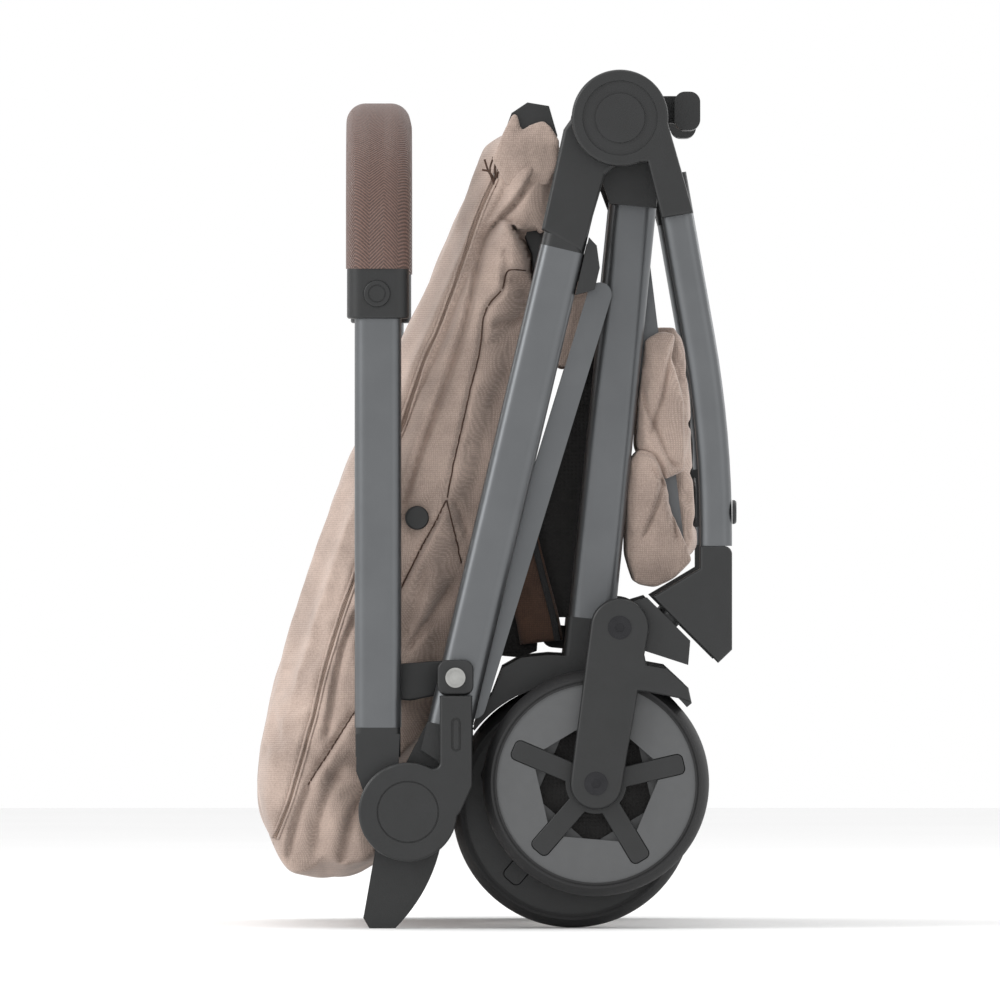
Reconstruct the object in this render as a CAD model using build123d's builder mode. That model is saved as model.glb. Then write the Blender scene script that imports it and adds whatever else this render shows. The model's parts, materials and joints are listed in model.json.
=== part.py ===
"""Folded compact stroller, modelled as separate pieces on their real joints.

Axes: +X is the front, +Y the left-hand side, +Z up. The origin is on the floor, in the middle of the
folded package. The package stands on its two rear tyres and on the two storage feet of the push bar.
Pieces are drawn on the right-hand side (negative Y) and mirrored. Distances called "reach" are
measured outward from the middle plane, so a layer from 188 to 209.5 lies between those two reaches.
"""
from build123d import *
import os
from math import atan2, cos, degrees, hypot, radians, sin

# ---------------------------------------------------------------- overall sizes
HALF_WIDTH = 225.0            # middle plane to the outer face of the hub discs
REAR_AXLE_X = 45.3
HUB_FROM_AXLE = (29.1, 428.1)   # rear axle to hub axis, forward and up
PUSHBAR_LENGTH = 450.0        # hub axis to the handle hinge
PUSHBAR_ANGLE = 253.0         # direction of the folded push bar, from the hub
HANDLE_LENGTH = 440.6         # handle hinge to the top of the grip

# ---------------------------------------------------------------- fits
RUNNING = 0.08                # radial clearance of a pin that turns in its bore
SIDE_GAP = 0.5                # gap between layers that move past each other
CLEAR = 0.8                   # gap round a piece that sits in a pocket

# ---------------------------------------------------------------- wheels
REAR_TYRE_RADIUS = 75.0
FRONT_TYRE_RADIUS = 70.3
TYRE_DEPTH = 8.6              # rubber standing out past the rim
TYRE_SHOULDER = 5.0
FRONT_WHEEL_WIDTH = 24.0
REAR_WHEEL_WIDTH = 25.0
RECESS_APOTHEM = 34.7         # five-sided recess in the rim face
RECESS_DEPTH = 9.0
RECESS_CORNER = 4.0
SPOKE_WIDTH = 12.5
SPOKE_INSET = 6.0             # rim edge to the spoke end
SPOKE_CORNER = 3.6
SPOKE_GAP = 0.4
TYRE_GROOVE = (1.2, 2.2, 0.8)  # from the rim, to, and depth of the groove beside the rim
SPOKE_COUNT = 5
SPOKE_START = 13.0
WHEEL_BOSS_RADIUS = 19.0
AXLE_RADIUS = 5.0
REAR_AXLE_RADIUS = 6.0

# ---------------------------------------------------------------- tubes
TUBE_CORNER = 7.0
PUSHBAR_WIDTH = 28.0
PUSHBAR_DEPTH = 21.5
HANDLE_WIDTH = 29.0
HANDLE_DEPTH = 19.5
FRONT_TUBE_WIDTH = 20.0
FRONT_TUBE_DEPTH = 20.0
REAR_TUBE_WIDTH = 29.0
REAR_TUBE_DEPTH = 23.5

# ---------------------------------------------------------------- hub
HUB_PIN_RADIUS = 9.0
HUB_DISC_RADIUS = 30.0
HUB_DISC_RECESS = 15.2
HUB_DISC_THICKNESS = 15.0
CROSS_TUBE_RADIUS = 15.0
PUSHBAR_EYE_RADIUS = 27.0
REAR_EYE_RADIUS = 25.0
REAR_EYE_THICKNESS = 17.0
TAB_EYE_RADIUS = 20.0
TAB_INNER_RADIUS = 34.0
TAB_OUTER_RADIUS = 50.0
SEAT_EYE_RADIUS = 20.0
SEAT_ARM_THICKNESS = 10.0

# ---------------------------------------------------------------- handle hinge
KNUCKLE_RADIUS = 30.7
KNUCKLE_RECESS = 18.4
KNUCKLE_THICKNESS = 15.0
HINGE_PIN_RADIUS = 8.0
HINGE_TONGUE = 10.5           # thickness of the handle's tongue
HINGE_EYE_RADIUS = 25.0
FOOT_DROP = 72.8              # hinge axis to the sole of the storage foot
FOOT_THICKNESS = 12.5
HANDLE_OFFSET = 18.6          # handle tube stands this far behind the hinge axis
COLLAR_HEIGHT = 31.0
COLLAR_WIDTH = 38.5
COLLAR_DEPTH = 25.0
GRIP_WIDTH = 39.8
GRIP_DEPTH = 27.0
GRIP_LEG = 103.6              # top of the collar to the top of the grip
GRIP_BEND = 56.0
BUTTON_RADIUS = 8.3
BUTTON_TRAVEL = 3.0

# ---------------------------------------------------------------- front leg, caster and fork
FRONT_TOP = (35.7, -60.5)     # hub axis to the top of the front tube
FRONT_KNEE = (59.6, -196.0)
FRONT_BOTTOM = (59.6, -265.4)
KNEE_RADIUS = 700.0
SWIVEL_FROM_LEG = (-28.5, -44.5)   # end of the front tube to the swivel centre
SWIVEL_PIN_RADIUS = 7.0
SWIVEL_PIN_LENGTH = 16.0
SWIVEL_GAP = 2.4
PIVOT_FROM_SWIVEL = (-31.3, -6.1)  # swivel centre to the fork pivot
FORK_LENGTH = 97.8
FORK_ANGLE = 261.4
FORK_ARM_THICKNESS = 7.5
FORK_HEAD_RADIUS = 18.0
FORK_END_RADIUS = 16.0
FORK_BOLT_RADIUS = 4.5
MUDGUARD_GAP = 3.2
MUDGUARD_THICKNESS = 4.0
CROSSBAR_RADIUS = 6.5

# ---------------------------------------------------------------- soft goods
CANOPY_CLEARANCE_RADIUS = 66.0

# ---------------------------------------------------------------- places that follow from the sizes
REAR_AXLE = (REAR_AXLE_X, REAR_TYRE_RADIUS)
HUB = (REAR_AXLE[0] + HUB_FROM_AXLE[0], REAR_AXLE[1] + HUB_FROM_AXLE[1])


def ahead(start, angle, distance, aside=0.0):
    """Point at a distance along a direction, and aside to the left of it."""
    turn = radians(angle)
    return (start[0] + distance * cos(turn) - aside * sin(turn),
            start[1] + distance * sin(turn) + aside * cos(turn))


def offset_from(start, step):
    """Point one (x, z) step from a start point."""
    return (start[0] + step[0], start[1] + step[1])


HINGE = ahead(HUB, PUSHBAR_ANGLE, PUSHBAR_LENGTH)
HANDLE_X = HINGE[0] - HANDLE_OFFSET
GRIP_TOP = HINGE[1] + HANDLE_LENGTH
COLLAR_TOP = GRIP_TOP - GRIP_LEG
LEG_END = offset_from(HUB, FRONT_BOTTOM)
SWIVEL = offset_from(LEG_END, SWIVEL_FROM_LEG)
FORK_PIVOT = offset_from(SWIVEL, PIVOT_FROM_SWIVEL)
FRONT_AXLE = ahead(FORK_PIVOT, FORK_ANGLE, FORK_LENGTH)

DISC_IN = HALF_WIDTH - HUB_DISC_THICKNESS
BAR_OUT = DISC_IN - SIDE_GAP
BAR_IN = BAR_OUT - PUSHBAR_DEPTH
REAR_EYE_OUT = BAR_IN - SIDE_GAP
REAR_EYE_IN = REAR_EYE_OUT - REAR_EYE_THICKNESS
REAR_LEG_OUT = REAR_EYE_IN + 1.5
REAR_LEG_IN = REAR_LEG_OUT - REAR_TUBE_DEPTH
SEAT_ARM_OUT = REAR_LEG_IN - SIDE_GAP
SEAT_ARM_IN = SEAT_ARM_OUT - SEAT_ARM_THICKNESS
HANDLE_OUT = BAR_OUT
HANDLE_IN = HANDLE_OUT - HANDLE_DEPTH
TONGUE_IN = HANDLE_OUT - HINGE_TONGUE
END_TONGUE_OUT = TONGUE_IN - SIDE_GAP
REAR_WHEEL_OUT = REAR_LEG_OUT - 2.0
REAR_WHEEL_IN = REAR_WHEEL_OUT - REAR_WHEEL_WIDTH
REAR_PLATE_OUT = REAR_WHEEL_IN - 1.5
REAR_PLATE_IN = REAR_PLATE_OUT - 12.5
FORK_OUT = HALF_WIDTH - 0.5
FORK_OUTER_IN = FORK_OUT - FORK_ARM_THICKNESS
FRONT_WHEEL_OUT = FORK_OUTER_IN - 2.5
FRONT_WHEEL_IN = FRONT_WHEEL_OUT - FRONT_WHEEL_WIDTH
FORK_INNER_OUT = FRONT_WHEEL_IN - 2.5
FORK_INNER_IN = FORK_INNER_OUT - FORK_ARM_THICKNESS
FRONT_LEG_MIDDLE = (FRONT_WHEEL_IN + FRONT_WHEEL_OUT) / 2 + 4.0
FRONT_LEG_IN = FRONT_LEG_MIDDLE - FRONT_TUBE_DEPTH / 2
FRONT_LEG_OUT = FRONT_LEG_MIDDLE + FRONT_TUBE_DEPTH / 2

os.makedirs("parts", exist_ok=True)


# ---------------------------------------------------------------- helpers
def side_plane(reach, place=(0.0, 0.0), angle=0.0):
    """Plane on the right-hand side that faces outward, with local x turned up by the angle."""
    turn = radians(angle)
    return Plane(origin=(place[0], -reach, place[1]), x_dir=(cos(turn), 0, sin(turn)), z_dir=(0, -1, 0))


def spin_plane(place):
    """Half section of a turned piece: local x is the radius, local y the reach."""
    return Plane(origin=(place[0], 0, place[1]), x_dir=(0, 0, 1), z_dir=(1, 0, 0))


def spin_axis(place):
    """Axis across the stroller through an (x, z) place."""
    return Axis((place[0], 0, place[1]), (0, 1, 0))


def write_piece(part, node):
    """Label a finished piece and write it."""
    part.label = node
    export_step(part, f"parts/{node}.step")


def write_sides(part, name):
    """Write a right-hand piece and its mirror image as two nodes."""
    write_piece(part, f"{name}_right")
    with BuildPart() as other_side:
        mirror(part, about=Plane.XZ)
    write_piece(other_side.part, f"{name}_left")


def write_group(part, node):
    """Write a right-hand piece and its mirror image as one node of separate solids."""
    with BuildPart() as both_sides:
        add(part)
        mirror(part, about=Plane.XZ)
    write_piece(both_sides.part, node)


def rod(place, radius, reach_in, reach_out):
    """Round bar across one side between two reaches, added to the open part."""
    with BuildSketch(side_plane(reach_in, place)) as section:
        Circle(radius)
    extrude(section.sketch, amount=reach_out - reach_in)


def bore(place, radius, reach_in, reach_out):
    """Round hole across one side between two reaches, cut from the open part."""
    with BuildSketch(side_plane(reach_in, place)) as section:
        Circle(radius)
    extrude(section.sketch, amount=reach_out - reach_in, mode=Mode.SUBTRACT)


def soften(part, reach, radius):
    """Round the outline edges of the flat face at one reach."""
    edges = part.edges().filter_by(lambda edge: abs(edge.center().Y + reach) < 0.01
                                   and edge.bounding_box().size.Y < 0.01)
    fillet(edges, radius)


def tube_between(start, end, width, reach_in, reach_out, corner):
    """Rounded rectangular tube from one (x, z) point to another, added to the open part."""
    length = hypot(end[0] - start[0], end[1] - start[1])
    direction = ((end[0] - start[0]) / length, 0, (end[1] - start[1]) / length)
    end_plane = Plane(origin=(start[0], -(reach_in + reach_out) / 2, start[1]), x_dir=(0, 1, 0),
                      z_dir=direction)
    with BuildSketch(end_plane) as section:
        RectangleRounded(reach_out - reach_in, width, corner)
    extrude(section.sketch, amount=length)


def direction_between(start, end):
    """Angle in degrees of the line from one point to another."""
    return degrees(atan2(end[1] - start[1], end[0] - start[0]))


def bar_point(along, aside):
    """Point on the push bar, measured up from the handle hinge and forward of the bar's axis."""
    return ahead(HINGE, PUSHBAR_ANGLE - 180, along, -aside)


# ---------------------------------------------------------------- hub core
TAB_OUT = REAR_EYE_IN - SIDE_GAP
TAB_IN = SEAT_ARM_OUT + SIDE_GAP
TAB_RIM_OUT = FRONT_LEG_IN - SIDE_GAP
TAB_HEIGHT = 24.0
TAB_MIDDLE_RADIUS = (TAB_INNER_RADIUS + TAB_OUTER_RADIUS) / 2
AXLE_IN_DISC = HUB_DISC_THICKNESS * 0.6

with BuildPart() as hub_axle:
    for sense in (1, -1):
        with BuildSketch(Plane(origin=(HUB[0], 0, HUB[1]), x_dir=(1, 0, 0), z_dir=(0, -sense, 0))):
            Circle(HUB_PIN_RADIUS)
        extrude(amount=DISC_IN + AXLE_IN_DISC)
write_piece(hub_axle.part, "hub_axle")

with BuildPart() as hub_cross_tube:
    with BuildSketch(side_plane(0, HUB)):
        Circle(CROSS_TUBE_RADIUS)
        Circle(HUB_PIN_RADIUS, mode=Mode.SUBTRACT)
    extrude(amount=SEAT_ARM_IN - SIDE_GAP, both=True)
write_piece(hub_cross_tube.part, "hub_cross_tube")

with BuildPart() as hub_tab:
    rod(HUB, TAB_EYE_RADIUS, TAB_IN, TAB_OUT)
    with BuildSketch(side_plane(TAB_IN, HUB)):
        with Locations((TAB_MIDDLE_RADIUS / 2 + 4, TAB_HEIGHT / 4)):
            Rectangle(TAB_MIDDLE_RADIUS, TAB_HEIGHT * 0.7)
    extrude(amount=TAB_OUT - TAB_IN)
    with BuildSketch(side_plane(TAB_IN, HUB)):
        with Locations((TAB_MIDDLE_RADIUS, TAB_HEIGHT / 5)):
            RectangleRounded(TAB_OUTER_RADIUS - TAB_INNER_RADIUS, TAB_HEIGHT, 6.5)
    extrude(amount=TAB_RIM_OUT - TAB_IN)
    bore(HUB, HUB_PIN_RADIUS, TAB_IN, TAB_OUT)
write_group(hub_tab.part, "hub_tabs")

# ---------------------------------------------------------------- front frame
LEG_TOP = offset_from(HUB, FRONT_TOP)
LEG_KNEE = offset_from(HUB, FRONT_KNEE)
ARM_ANGLE = direction_between(LEG_TOP, LEG_KNEE)
SOCKET_TOP = ahead(LEG_TOP, ARM_ANGLE + 180, 26.0)

with BuildPart() as front_arm:
    rod(HUB, HUB_DISC_RADIUS, DISC_IN, HALF_WIDTH)
    with BuildSketch(side_plane(DISC_IN)):
        with BuildLine():
            neck = ahead(LEG_TOP, ARM_ANGLE, 0, -FRONT_TUBE_WIDTH / 2)
            Polyline(ahead(HUB, 36, HUB_DISC_RADIUS - 0.5),
                     ahead(LEG_TOP, ARM_ANGLE, 0, FRONT_TUBE_WIDTH / 2),
                     neck, ahead(neck, ARM_ANGLE + 184, 36.0), ahead(HUB, -95, HUB_DISC_RADIUS - 2),
                     close=True)
        make_face()
    extrude(amount=HUB_DISC_THICKNESS)
    soften(front_arm.part, HALF_WIDTH, 2.0)
    with BuildSketch(side_plane(HALF_WIDTH, HUB)):
        Circle(23.3)
        Circle(HUB_DISC_RECESS, mode=Mode.SUBTRACT)
    extrude(amount=-1.6, mode=Mode.SUBTRACT)
    tube_between(SOCKET_TOP, LEG_TOP, FRONT_TUBE_WIDTH, FRONT_LEG_IN, HALF_WIDTH - 3.0, 4.0)
    bore(HUB, HUB_PIN_RADIUS + RUNNING, DISC_IN - 1, DISC_IN + AXLE_IN_DISC + 0.5)
write_sides(front_arm.part, "front_arm")

with BuildPart() as front_tube:
    with BuildLine() as leg_path:
        FilletPolyline((LEG_TOP[0], -FRONT_LEG_MIDDLE, LEG_TOP[1]),
                       (LEG_KNEE[0], -FRONT_LEG_MIDDLE, LEG_KNEE[1]),
                       (LEG_END[0], -FRONT_LEG_MIDDLE, LEG_END[1]), radius=KNEE_RADIUS)
    with BuildSketch(Plane(origin=leg_path.line @ 0, x_dir=(0, 1, 0), z_dir=leg_path.line % 0)):
        RectangleRounded(FRONT_TUBE_DEPTH, FRONT_TUBE_WIDTH, TUBE_CORNER)
    sweep()
write_group(front_tube.part, "front_tubes")

FOOT_HEIGHT = 64.3            # end of the tube down to the corner of the foot
FOOT_HALF = FRONT_TUBE_WIDTH / 2
SWIVEL_TURN = 45.0            # the swivel axis leans this far back while folded
SWIVEL_FACE = ahead(SWIVEL, SWIVEL_TURN, SWIVEL_GAP / 2)
SWIVEL_HALF = 19.0

with BuildPart() as front_foot:
    with BuildSketch(side_plane(FRONT_LEG_IN - 1.0)):
        with BuildLine():
            Polyline(ahead(SWIVEL_FACE, SWIVEL_TURN + 90, SWIVEL_HALF - 2),
                     ahead(SWIVEL_FACE, SWIVEL_TURN - 90, 41.0),
                     offset_from(LEG_END, (FOOT_HALF, -FOOT_HEIGHT)),
                     offset_from(LEG_END, (FOOT_HALF, 0)), offset_from(LEG_END, (-FOOT_HALF, 0)),
                     offset_from(LEG_END, (-FOOT_HALF, -14.0)), close=True)
        make_face()
        fillet(vertices().group_by(Axis.X)[-1].sort_by(Axis.Z)[0], 5.0)
    extrude(amount=FRONT_TUBE_DEPTH + 3.0)
    soften(front_foot.part, FRONT_LEG_OUT + 2.0, 2.0)
    swivel_bore = Plane(origin=(SWIVEL[0], -FRONT_LEG_MIDDLE, SWIVEL[1]), x_dir=(0, 1, 0),
                        z_dir=(cos(radians(SWIVEL_TURN)), 0, sin(radians(SWIVEL_TURN))))
    with BuildSketch(swivel_bore):
        Circle(SWIVEL_PIN_RADIUS + RUNNING)
    extrude(amount=SWIVEL_PIN_LENGTH + 0.5, mode=Mode.SUBTRACT)
write_group(front_foot.part, "front_feet")

CROSSBAR = offset_from(LEG_END, (0.0, -40.0))
with BuildPart() as front_crossbar:
    with BuildSketch(side_plane(0, CROSSBAR)):
        Circle(CROSSBAR_RADIUS)
    extrude(amount=FRONT_LEG_IN - 1.0, both=True)
write_piece(front_crossbar.part, "front_crossbar")

KNOB_RADIUS = 7.5
with BuildPart() as front_knob:
    with BuildSketch(Plane(origin=(LEG_END[0] + FOOT_HALF + 0.2, -FRONT_LEG_MIDDLE, LEG_END[1] + 21.0),
                           x_dir=(0, 1, 0), z_dir=(1, 0, 0))):
        Circle(KNOB_RADIUS)
    extrude(amount=2.6)
    fillet(front_knob.part.edges().group_by(Axis.X)[-1], 1.8)
write_group(front_knob.part, "front_knobs")

# ---------------------------------------------------------------- casters and forks
BLOCK_OUT = FORK_OUTER_IN - CLEAR
BLOCK_IN = FORK_INNER_OUT + CLEAR
BLOCK_PIVOT_RADIUS = 14.0
BLOCK_FACE = ahead(SWIVEL, SWIVEL_TURN, -SWIVEL_GAP / 2)

with BuildPart() as caster_block:
    rod(FORK_PIVOT, BLOCK_PIVOT_RADIUS, BLOCK_IN, BLOCK_OUT)
    with BuildSketch(side_plane(BLOCK_IN)):
        with BuildLine():
            Polyline(ahead(FORK_PIVOT, 90, BLOCK_PIVOT_RADIUS - 0.5),
                     ahead(BLOCK_FACE, SWIVEL_TURN + 90, SWIVEL_HALF),
                     ahead(BLOCK_FACE, SWIVEL_TURN - 90, SWIVEL_HALF),
                     ahead(BLOCK_FACE, SWIVEL_TURN - 112, SWIVEL_HALF + 12.0),
                     ahead(FORK_PIVOT, -60, BLOCK_PIVOT_RADIUS - 0.5), close=True)
        make_face()
    extrude(amount=BLOCK_OUT - BLOCK_IN)
    pin_plane = Plane(origin=(BLOCK_FACE[0], -FRONT_LEG_MIDDLE, BLOCK_FACE[1]), x_dir=(0, 1, 0),
                      z_dir=(cos(radians(SWIVEL_TURN)), 0, sin(radians(SWIVEL_TURN))))
    with BuildSketch(pin_plane):
        Circle(SWIVEL_PIN_RADIUS)
    extrude(amount=SWIVEL_PIN_LENGTH)
    bore(FORK_PIVOT, FORK_BOLT_RADIUS + RUNNING, BLOCK_IN - 1, BLOCK_OUT + 1)
write_sides(caster_block.part, "caster_block")

GUARD_IN_RADIUS = FRONT_TYRE_RADIUS + MUDGUARD_GAP
GUARD_OUT_RADIUS = GUARD_IN_RADIUS + MUDGUARD_THICKNESS
GUARD_START, GUARD_END = 40.0, 72.0

with BuildPart() as fork:
    for reach in (FORK_INNER_IN, FORK_OUTER_IN):
        with BuildSketch(side_plane(reach)):
            with Locations(FORK_PIVOT):
                Circle(FORK_HEAD_RADIUS)
            with Locations(FRONT_AXLE):
                Circle(FORK_END_RADIUS)
            with BuildLine():
                Polyline(ahead(FORK_PIVOT, FORK_ANGLE + 90, FORK_HEAD_RADIUS),
                         ahead(FRONT_AXLE, FORK_ANGLE + 90, FORK_END_RADIUS),
                         ahead(FRONT_AXLE, FORK_ANGLE - 90, FORK_END_RADIUS),
                         ahead(FORK_PIVOT, FORK_ANGLE - 90, FORK_HEAD_RADIUS), close=True)
            make_face()
            with BuildLine():
                Polyline(ahead(FORK_PIVOT, -35, FORK_HEAD_RADIUS - 1),
                         ahead(FRONT_AXLE, GUARD_END - 5, GUARD_OUT_RADIUS + 2.5),
                         ahead(FRONT_AXLE, GUARD_END - 14, GUARD_OUT_RADIUS + 6.5),
                         ahead(FRONT_AXLE, GUARD_START + 6, GUARD_OUT_RADIUS + 5.0),
                         ahead(FRONT_AXLE, GUARD_START, GUARD_OUT_RADIUS),
                         ahead(FRONT_AXLE, GUARD_START + 6, GUARD_IN_RADIUS),
                         ahead(FRONT_AXLE, GUARD_END - 10, GUARD_IN_RADIUS - 9.0),
                         ahead(FRONT_AXLE, GUARD_END + 8, GUARD_IN_RADIUS - 14.0), close=True)
            make_face()
        extrude(amount=FORK_ARM_THICKNESS)
    soften(fork.part, FORK_OUT, 2.0)
    with BuildSketch(side_plane(FORK_INNER_IN + 1.0, FRONT_AXLE)):
        Circle(GUARD_OUT_RADIUS)
        Circle(GUARD_IN_RADIUS, mode=Mode.SUBTRACT)
        with BuildLine():
            Polyline((0, 0), (150 * cos(radians(GUARD_START)), 150 * sin(radians(GUARD_START))),
                     (150 * cos(radians(GUARD_END)), 150 * sin(radians(GUARD_END))), close=True)
        make_face(mode=Mode.INTERSECT)
    extrude(amount=FORK_OUT - FORK_INNER_IN - 2.0)
    bore(FORK_PIVOT, FORK_BOLT_RADIUS, FORK_INNER_IN - 1, FORK_OUT + 1)
    bore(FRONT_AXLE, AXLE_RADIUS, FORK_INNER_IN - 1, FORK_OUT + 1)
write_sides(fork.part, "fork")

BOLT_HEAD_RADIUS = 7.3
BOLT_HEAD = 0.5
SOCKET_RADIUS = 3.2
with BuildPart() as fork_bolts:
    for place, radius in ((FORK_PIVOT, FORK_BOLT_RADIUS), (FRONT_AXLE, AXLE_RADIUS)):
        rod(place, radius, FORK_INNER_IN, FORK_OUT)
        rod(place, BOLT_HEAD_RADIUS, FORK_OUT, FORK_OUT + BOLT_HEAD)
        with BuildSketch(side_plane(FORK_OUT + BOLT_HEAD, place)):
            RegularPolygon(SOCKET_RADIUS, 6)
        extrude(amount=-3.0, mode=Mode.SUBTRACT)
write_sides(fork_bolts.part, "fork_bolts")


# ---------------------------------------------------------------- wheels
def write_wheel(name, axle, tyre_radius, reach_in, reach_out, axle_radius):
    """Write the tyre, the rim and the five-spoked cover of one pair of wheels."""
    rim_radius = tyre_radius - TYRE_DEPTH
    spoke_length = rim_radius - SPOKE_INSET
    with BuildPart() as tyre:
        with BuildSketch(spin_plane(axle)):
            with BuildLine():
                shoulder = tyre_radius - TYRE_SHOULDER
                Line((shoulder, reach_in), (rim_radius, reach_in))
                Line((rim_radius, reach_in), (rim_radius, reach_out))
                Line((rim_radius, reach_out), (shoulder, reach_out))
                ThreePointArc((shoulder, reach_out), (tyre_radius, (reach_in + reach_out) / 2),
                              (shoulder, reach_in))
            make_face()
        revolve(axis=spin_axis(axle))
        groove_in, groove_out, groove_depth = TYRE_GROOVE
        with BuildSketch(side_plane(reach_out, axle)):
            Circle(rim_radius + groove_out)
            Circle(rim_radius + groove_in, mode=Mode.SUBTRACT)
        extrude(amount=-groove_depth, mode=Mode.SUBTRACT)
    write_sides(tyre.part, f"{name}_tyre")

    with BuildPart() as rim:
        rod(axle, rim_radius, reach_in + 1.0, reach_out - 1.0)
        with BuildSketch(side_plane(reach_out - 1.0, axle, SPOKE_START)):
            RegularPolygon(RECESS_APOTHEM, SPOKE_COUNT, major_radius=False)
            fillet(vertices(), RECESS_CORNER)
            with PolarLocations(0, SPOKE_COUNT):
                with Locations((spoke_length / 2, 0)):
                    RectangleRounded(spoke_length + 2 * SPOKE_GAP, SPOKE_WIDTH + 2 * SPOKE_GAP,
                                     SPOKE_CORNER + SPOKE_GAP)
        extrude(amount=-RECESS_DEPTH, mode=Mode.SUBTRACT)
        bore(axle, axle_radius + RUNNING, reach_in, reach_out)
    write_sides(rim.part, f"{name}_rim")

    with BuildPart() as spokes:
        floor = reach_out - 1.0 - RECESS_DEPTH
        with BuildSketch(side_plane(floor, axle, SPOKE_START)):
            Circle(WHEEL_BOSS_RADIUS)
            with PolarLocations(0, SPOKE_COUNT):
                with Locations((spoke_length / 2, 0)):
                    RectangleRounded(spoke_length, SPOKE_WIDTH, SPOKE_CORNER)
        extrude(amount=RECESS_DEPTH + 0.6)
        soften(spokes.part, reach_out - 0.4, 0.6)
        bore(axle, axle_radius + RUNNING, floor - 1, reach_out + 1)
    write_sides(spokes.part, f"{name}_spokes")


write_wheel("front_wheel", FRONT_AXLE, FRONT_TYRE_RADIUS, FRONT_WHEEL_IN, FRONT_WHEEL_OUT, AXLE_RADIUS)
write_wheel("rear_wheel", REAR_AXLE, REAR_TYRE_RADIUS, REAR_WHEEL_IN, REAR_WHEEL_OUT, REAR_AXLE_RADIUS)

# ---------------------------------------------------------------- rear frame
REAR_TOP = offset_from(HUB, (8.4, -54.1))
REAR_ANGLE = direction_between(REAR_TOP, REAR_AXLE)
REAR_FOOT_RISE = 118.0        # rear axle up to the end of the rear tube
REAR_TUBE_END = ahead(REAR_AXLE, REAR_ANGLE + 180, REAR_FOOT_RISE)
REAR_NECK = ahead(REAR_TOP, REAR_ANGLE + 180, 24.0)

with BuildPart() as rear_top:
    rod(HUB, REAR_EYE_RADIUS, REAR_EYE_IN, REAR_EYE_OUT)
    with BuildSketch(side_plane(REAR_EYE_IN)):
        with BuildLine():
            Polyline(ahead(HUB, 0, REAR_EYE_RADIUS - 1),
                     ahead(REAR_TOP, REAR_ANGLE, 0, REAR_TUBE_WIDTH / 2),
                     ahead(REAR_TOP, REAR_ANGLE, 0, -REAR_TUBE_WIDTH / 2),
                     ahead(HUB, 200, REAR_EYE_RADIUS - 1),
                     close=True)
        make_face()
    extrude(amount=REAR_EYE_THICKNESS)
    tube_between(REAR_NECK, REAR_TOP, REAR_TUBE_WIDTH, REAR_LEG_IN, REAR_EYE_OUT, 4.0)
    bore(HUB, HUB_PIN_RADIUS + RUNNING, REAR_EYE_IN - 1, REAR_EYE_OUT + 1)
write_group(rear_top.part, "rear_top_fittings")

with BuildPart() as rear_tube:
    tube_between(REAR_TOP, REAR_TUBE_END, REAR_TUBE_WIDTH, REAR_LEG_IN, REAR_LEG_OUT, TUBE_CORNER)
write_group(rear_tube.part, "rear_tubes")

PLATE_WIDTH = 30.0
BRIDGE_RADIUS = REAR_TYRE_RADIUS + 2.5
# hump of the rear mudguard: angle and distance from the axle
GUARD_HUMP = ((90, 74), (90, 94), (99, 96), (109, 98.5), (117, 97), (126, 86), (134, 84), (142, 79),
              (142, 74))
with BuildPart() as rear_foot:
    tube_between(REAR_TUBE_END, ahead(REAR_AXLE, REAR_ANGLE + 180, BRIDGE_RADIUS), REAR_TUBE_WIDTH + 2,
                 REAR_PLATE_IN, REAR_LEG_OUT, 4.0)
    with BuildSketch(side_plane(REAR_PLATE_IN, REAR_AXLE, REAR_ANGLE + 180)):
        with Locations((BRIDGE_RADIUS / 2 + 3, 0)):
            Rectangle(BRIDGE_RADIUS + 6, PLATE_WIDTH)
        Circle(PLATE_WIDTH / 2)
    extrude(amount=REAR_PLATE_OUT - REAR_PLATE_IN)
    with BuildSketch(side_plane(REAR_PLATE_IN, REAR_AXLE, REAR_ANGLE + 180)):
        Circle(BRIDGE_RADIUS + 5.0)
        Circle(BRIDGE_RADIUS, mode=Mode.SUBTRACT)
        with BuildLine():
            Polyline((0, 0), (170, 120), (170, -90), close=True)
        make_face(mode=Mode.INTERSECT)
    extrude(amount=REAR_LEG_OUT - REAR_PLATE_IN)
    with BuildSketch(side_plane(REAR_PLATE_IN, REAR_AXLE)):
        with BuildLine():
            Polyline([(reach * cos(radians(turn)), reach * sin(radians(turn))) for turn, reach in GUARD_HUMP],
                     close=True)
        make_face()
        Circle(BRIDGE_RADIUS, mode=Mode.SUBTRACT)
    extrude(amount=REAR_LEG_OUT - REAR_PLATE_IN)
    bore(REAR_AXLE, REAR_AXLE_RADIUS, REAR_PLATE_IN - 1, REAR_PLATE_OUT + 1)
write_group(rear_foot.part, "rear_feet")

AXLE_CAP_RADIUS = 9.0
with BuildPart() as rear_axle:
    for sense in (1, -1):
        with BuildSketch(Plane(origin=(REAR_AXLE[0], 0, REAR_AXLE[1]), x_dir=(1, 0, 0),
                               z_dir=(0, sense, 0))):
            Circle(REAR_AXLE_RADIUS)
        extrude(amount=REAR_WHEEL_OUT + 0.7)
        with BuildSketch(Plane(origin=(REAR_AXLE[0], sense * (REAR_WHEEL_OUT + 0.7), REAR_AXLE[1]),
                               x_dir=(1, 0, 0), z_dir=(0, sense, 0))):
            Circle(AXLE_CAP_RADIUS)
        extrude(amount=2.0)
write_piece(rear_axle.part, "rear_axle")

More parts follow.
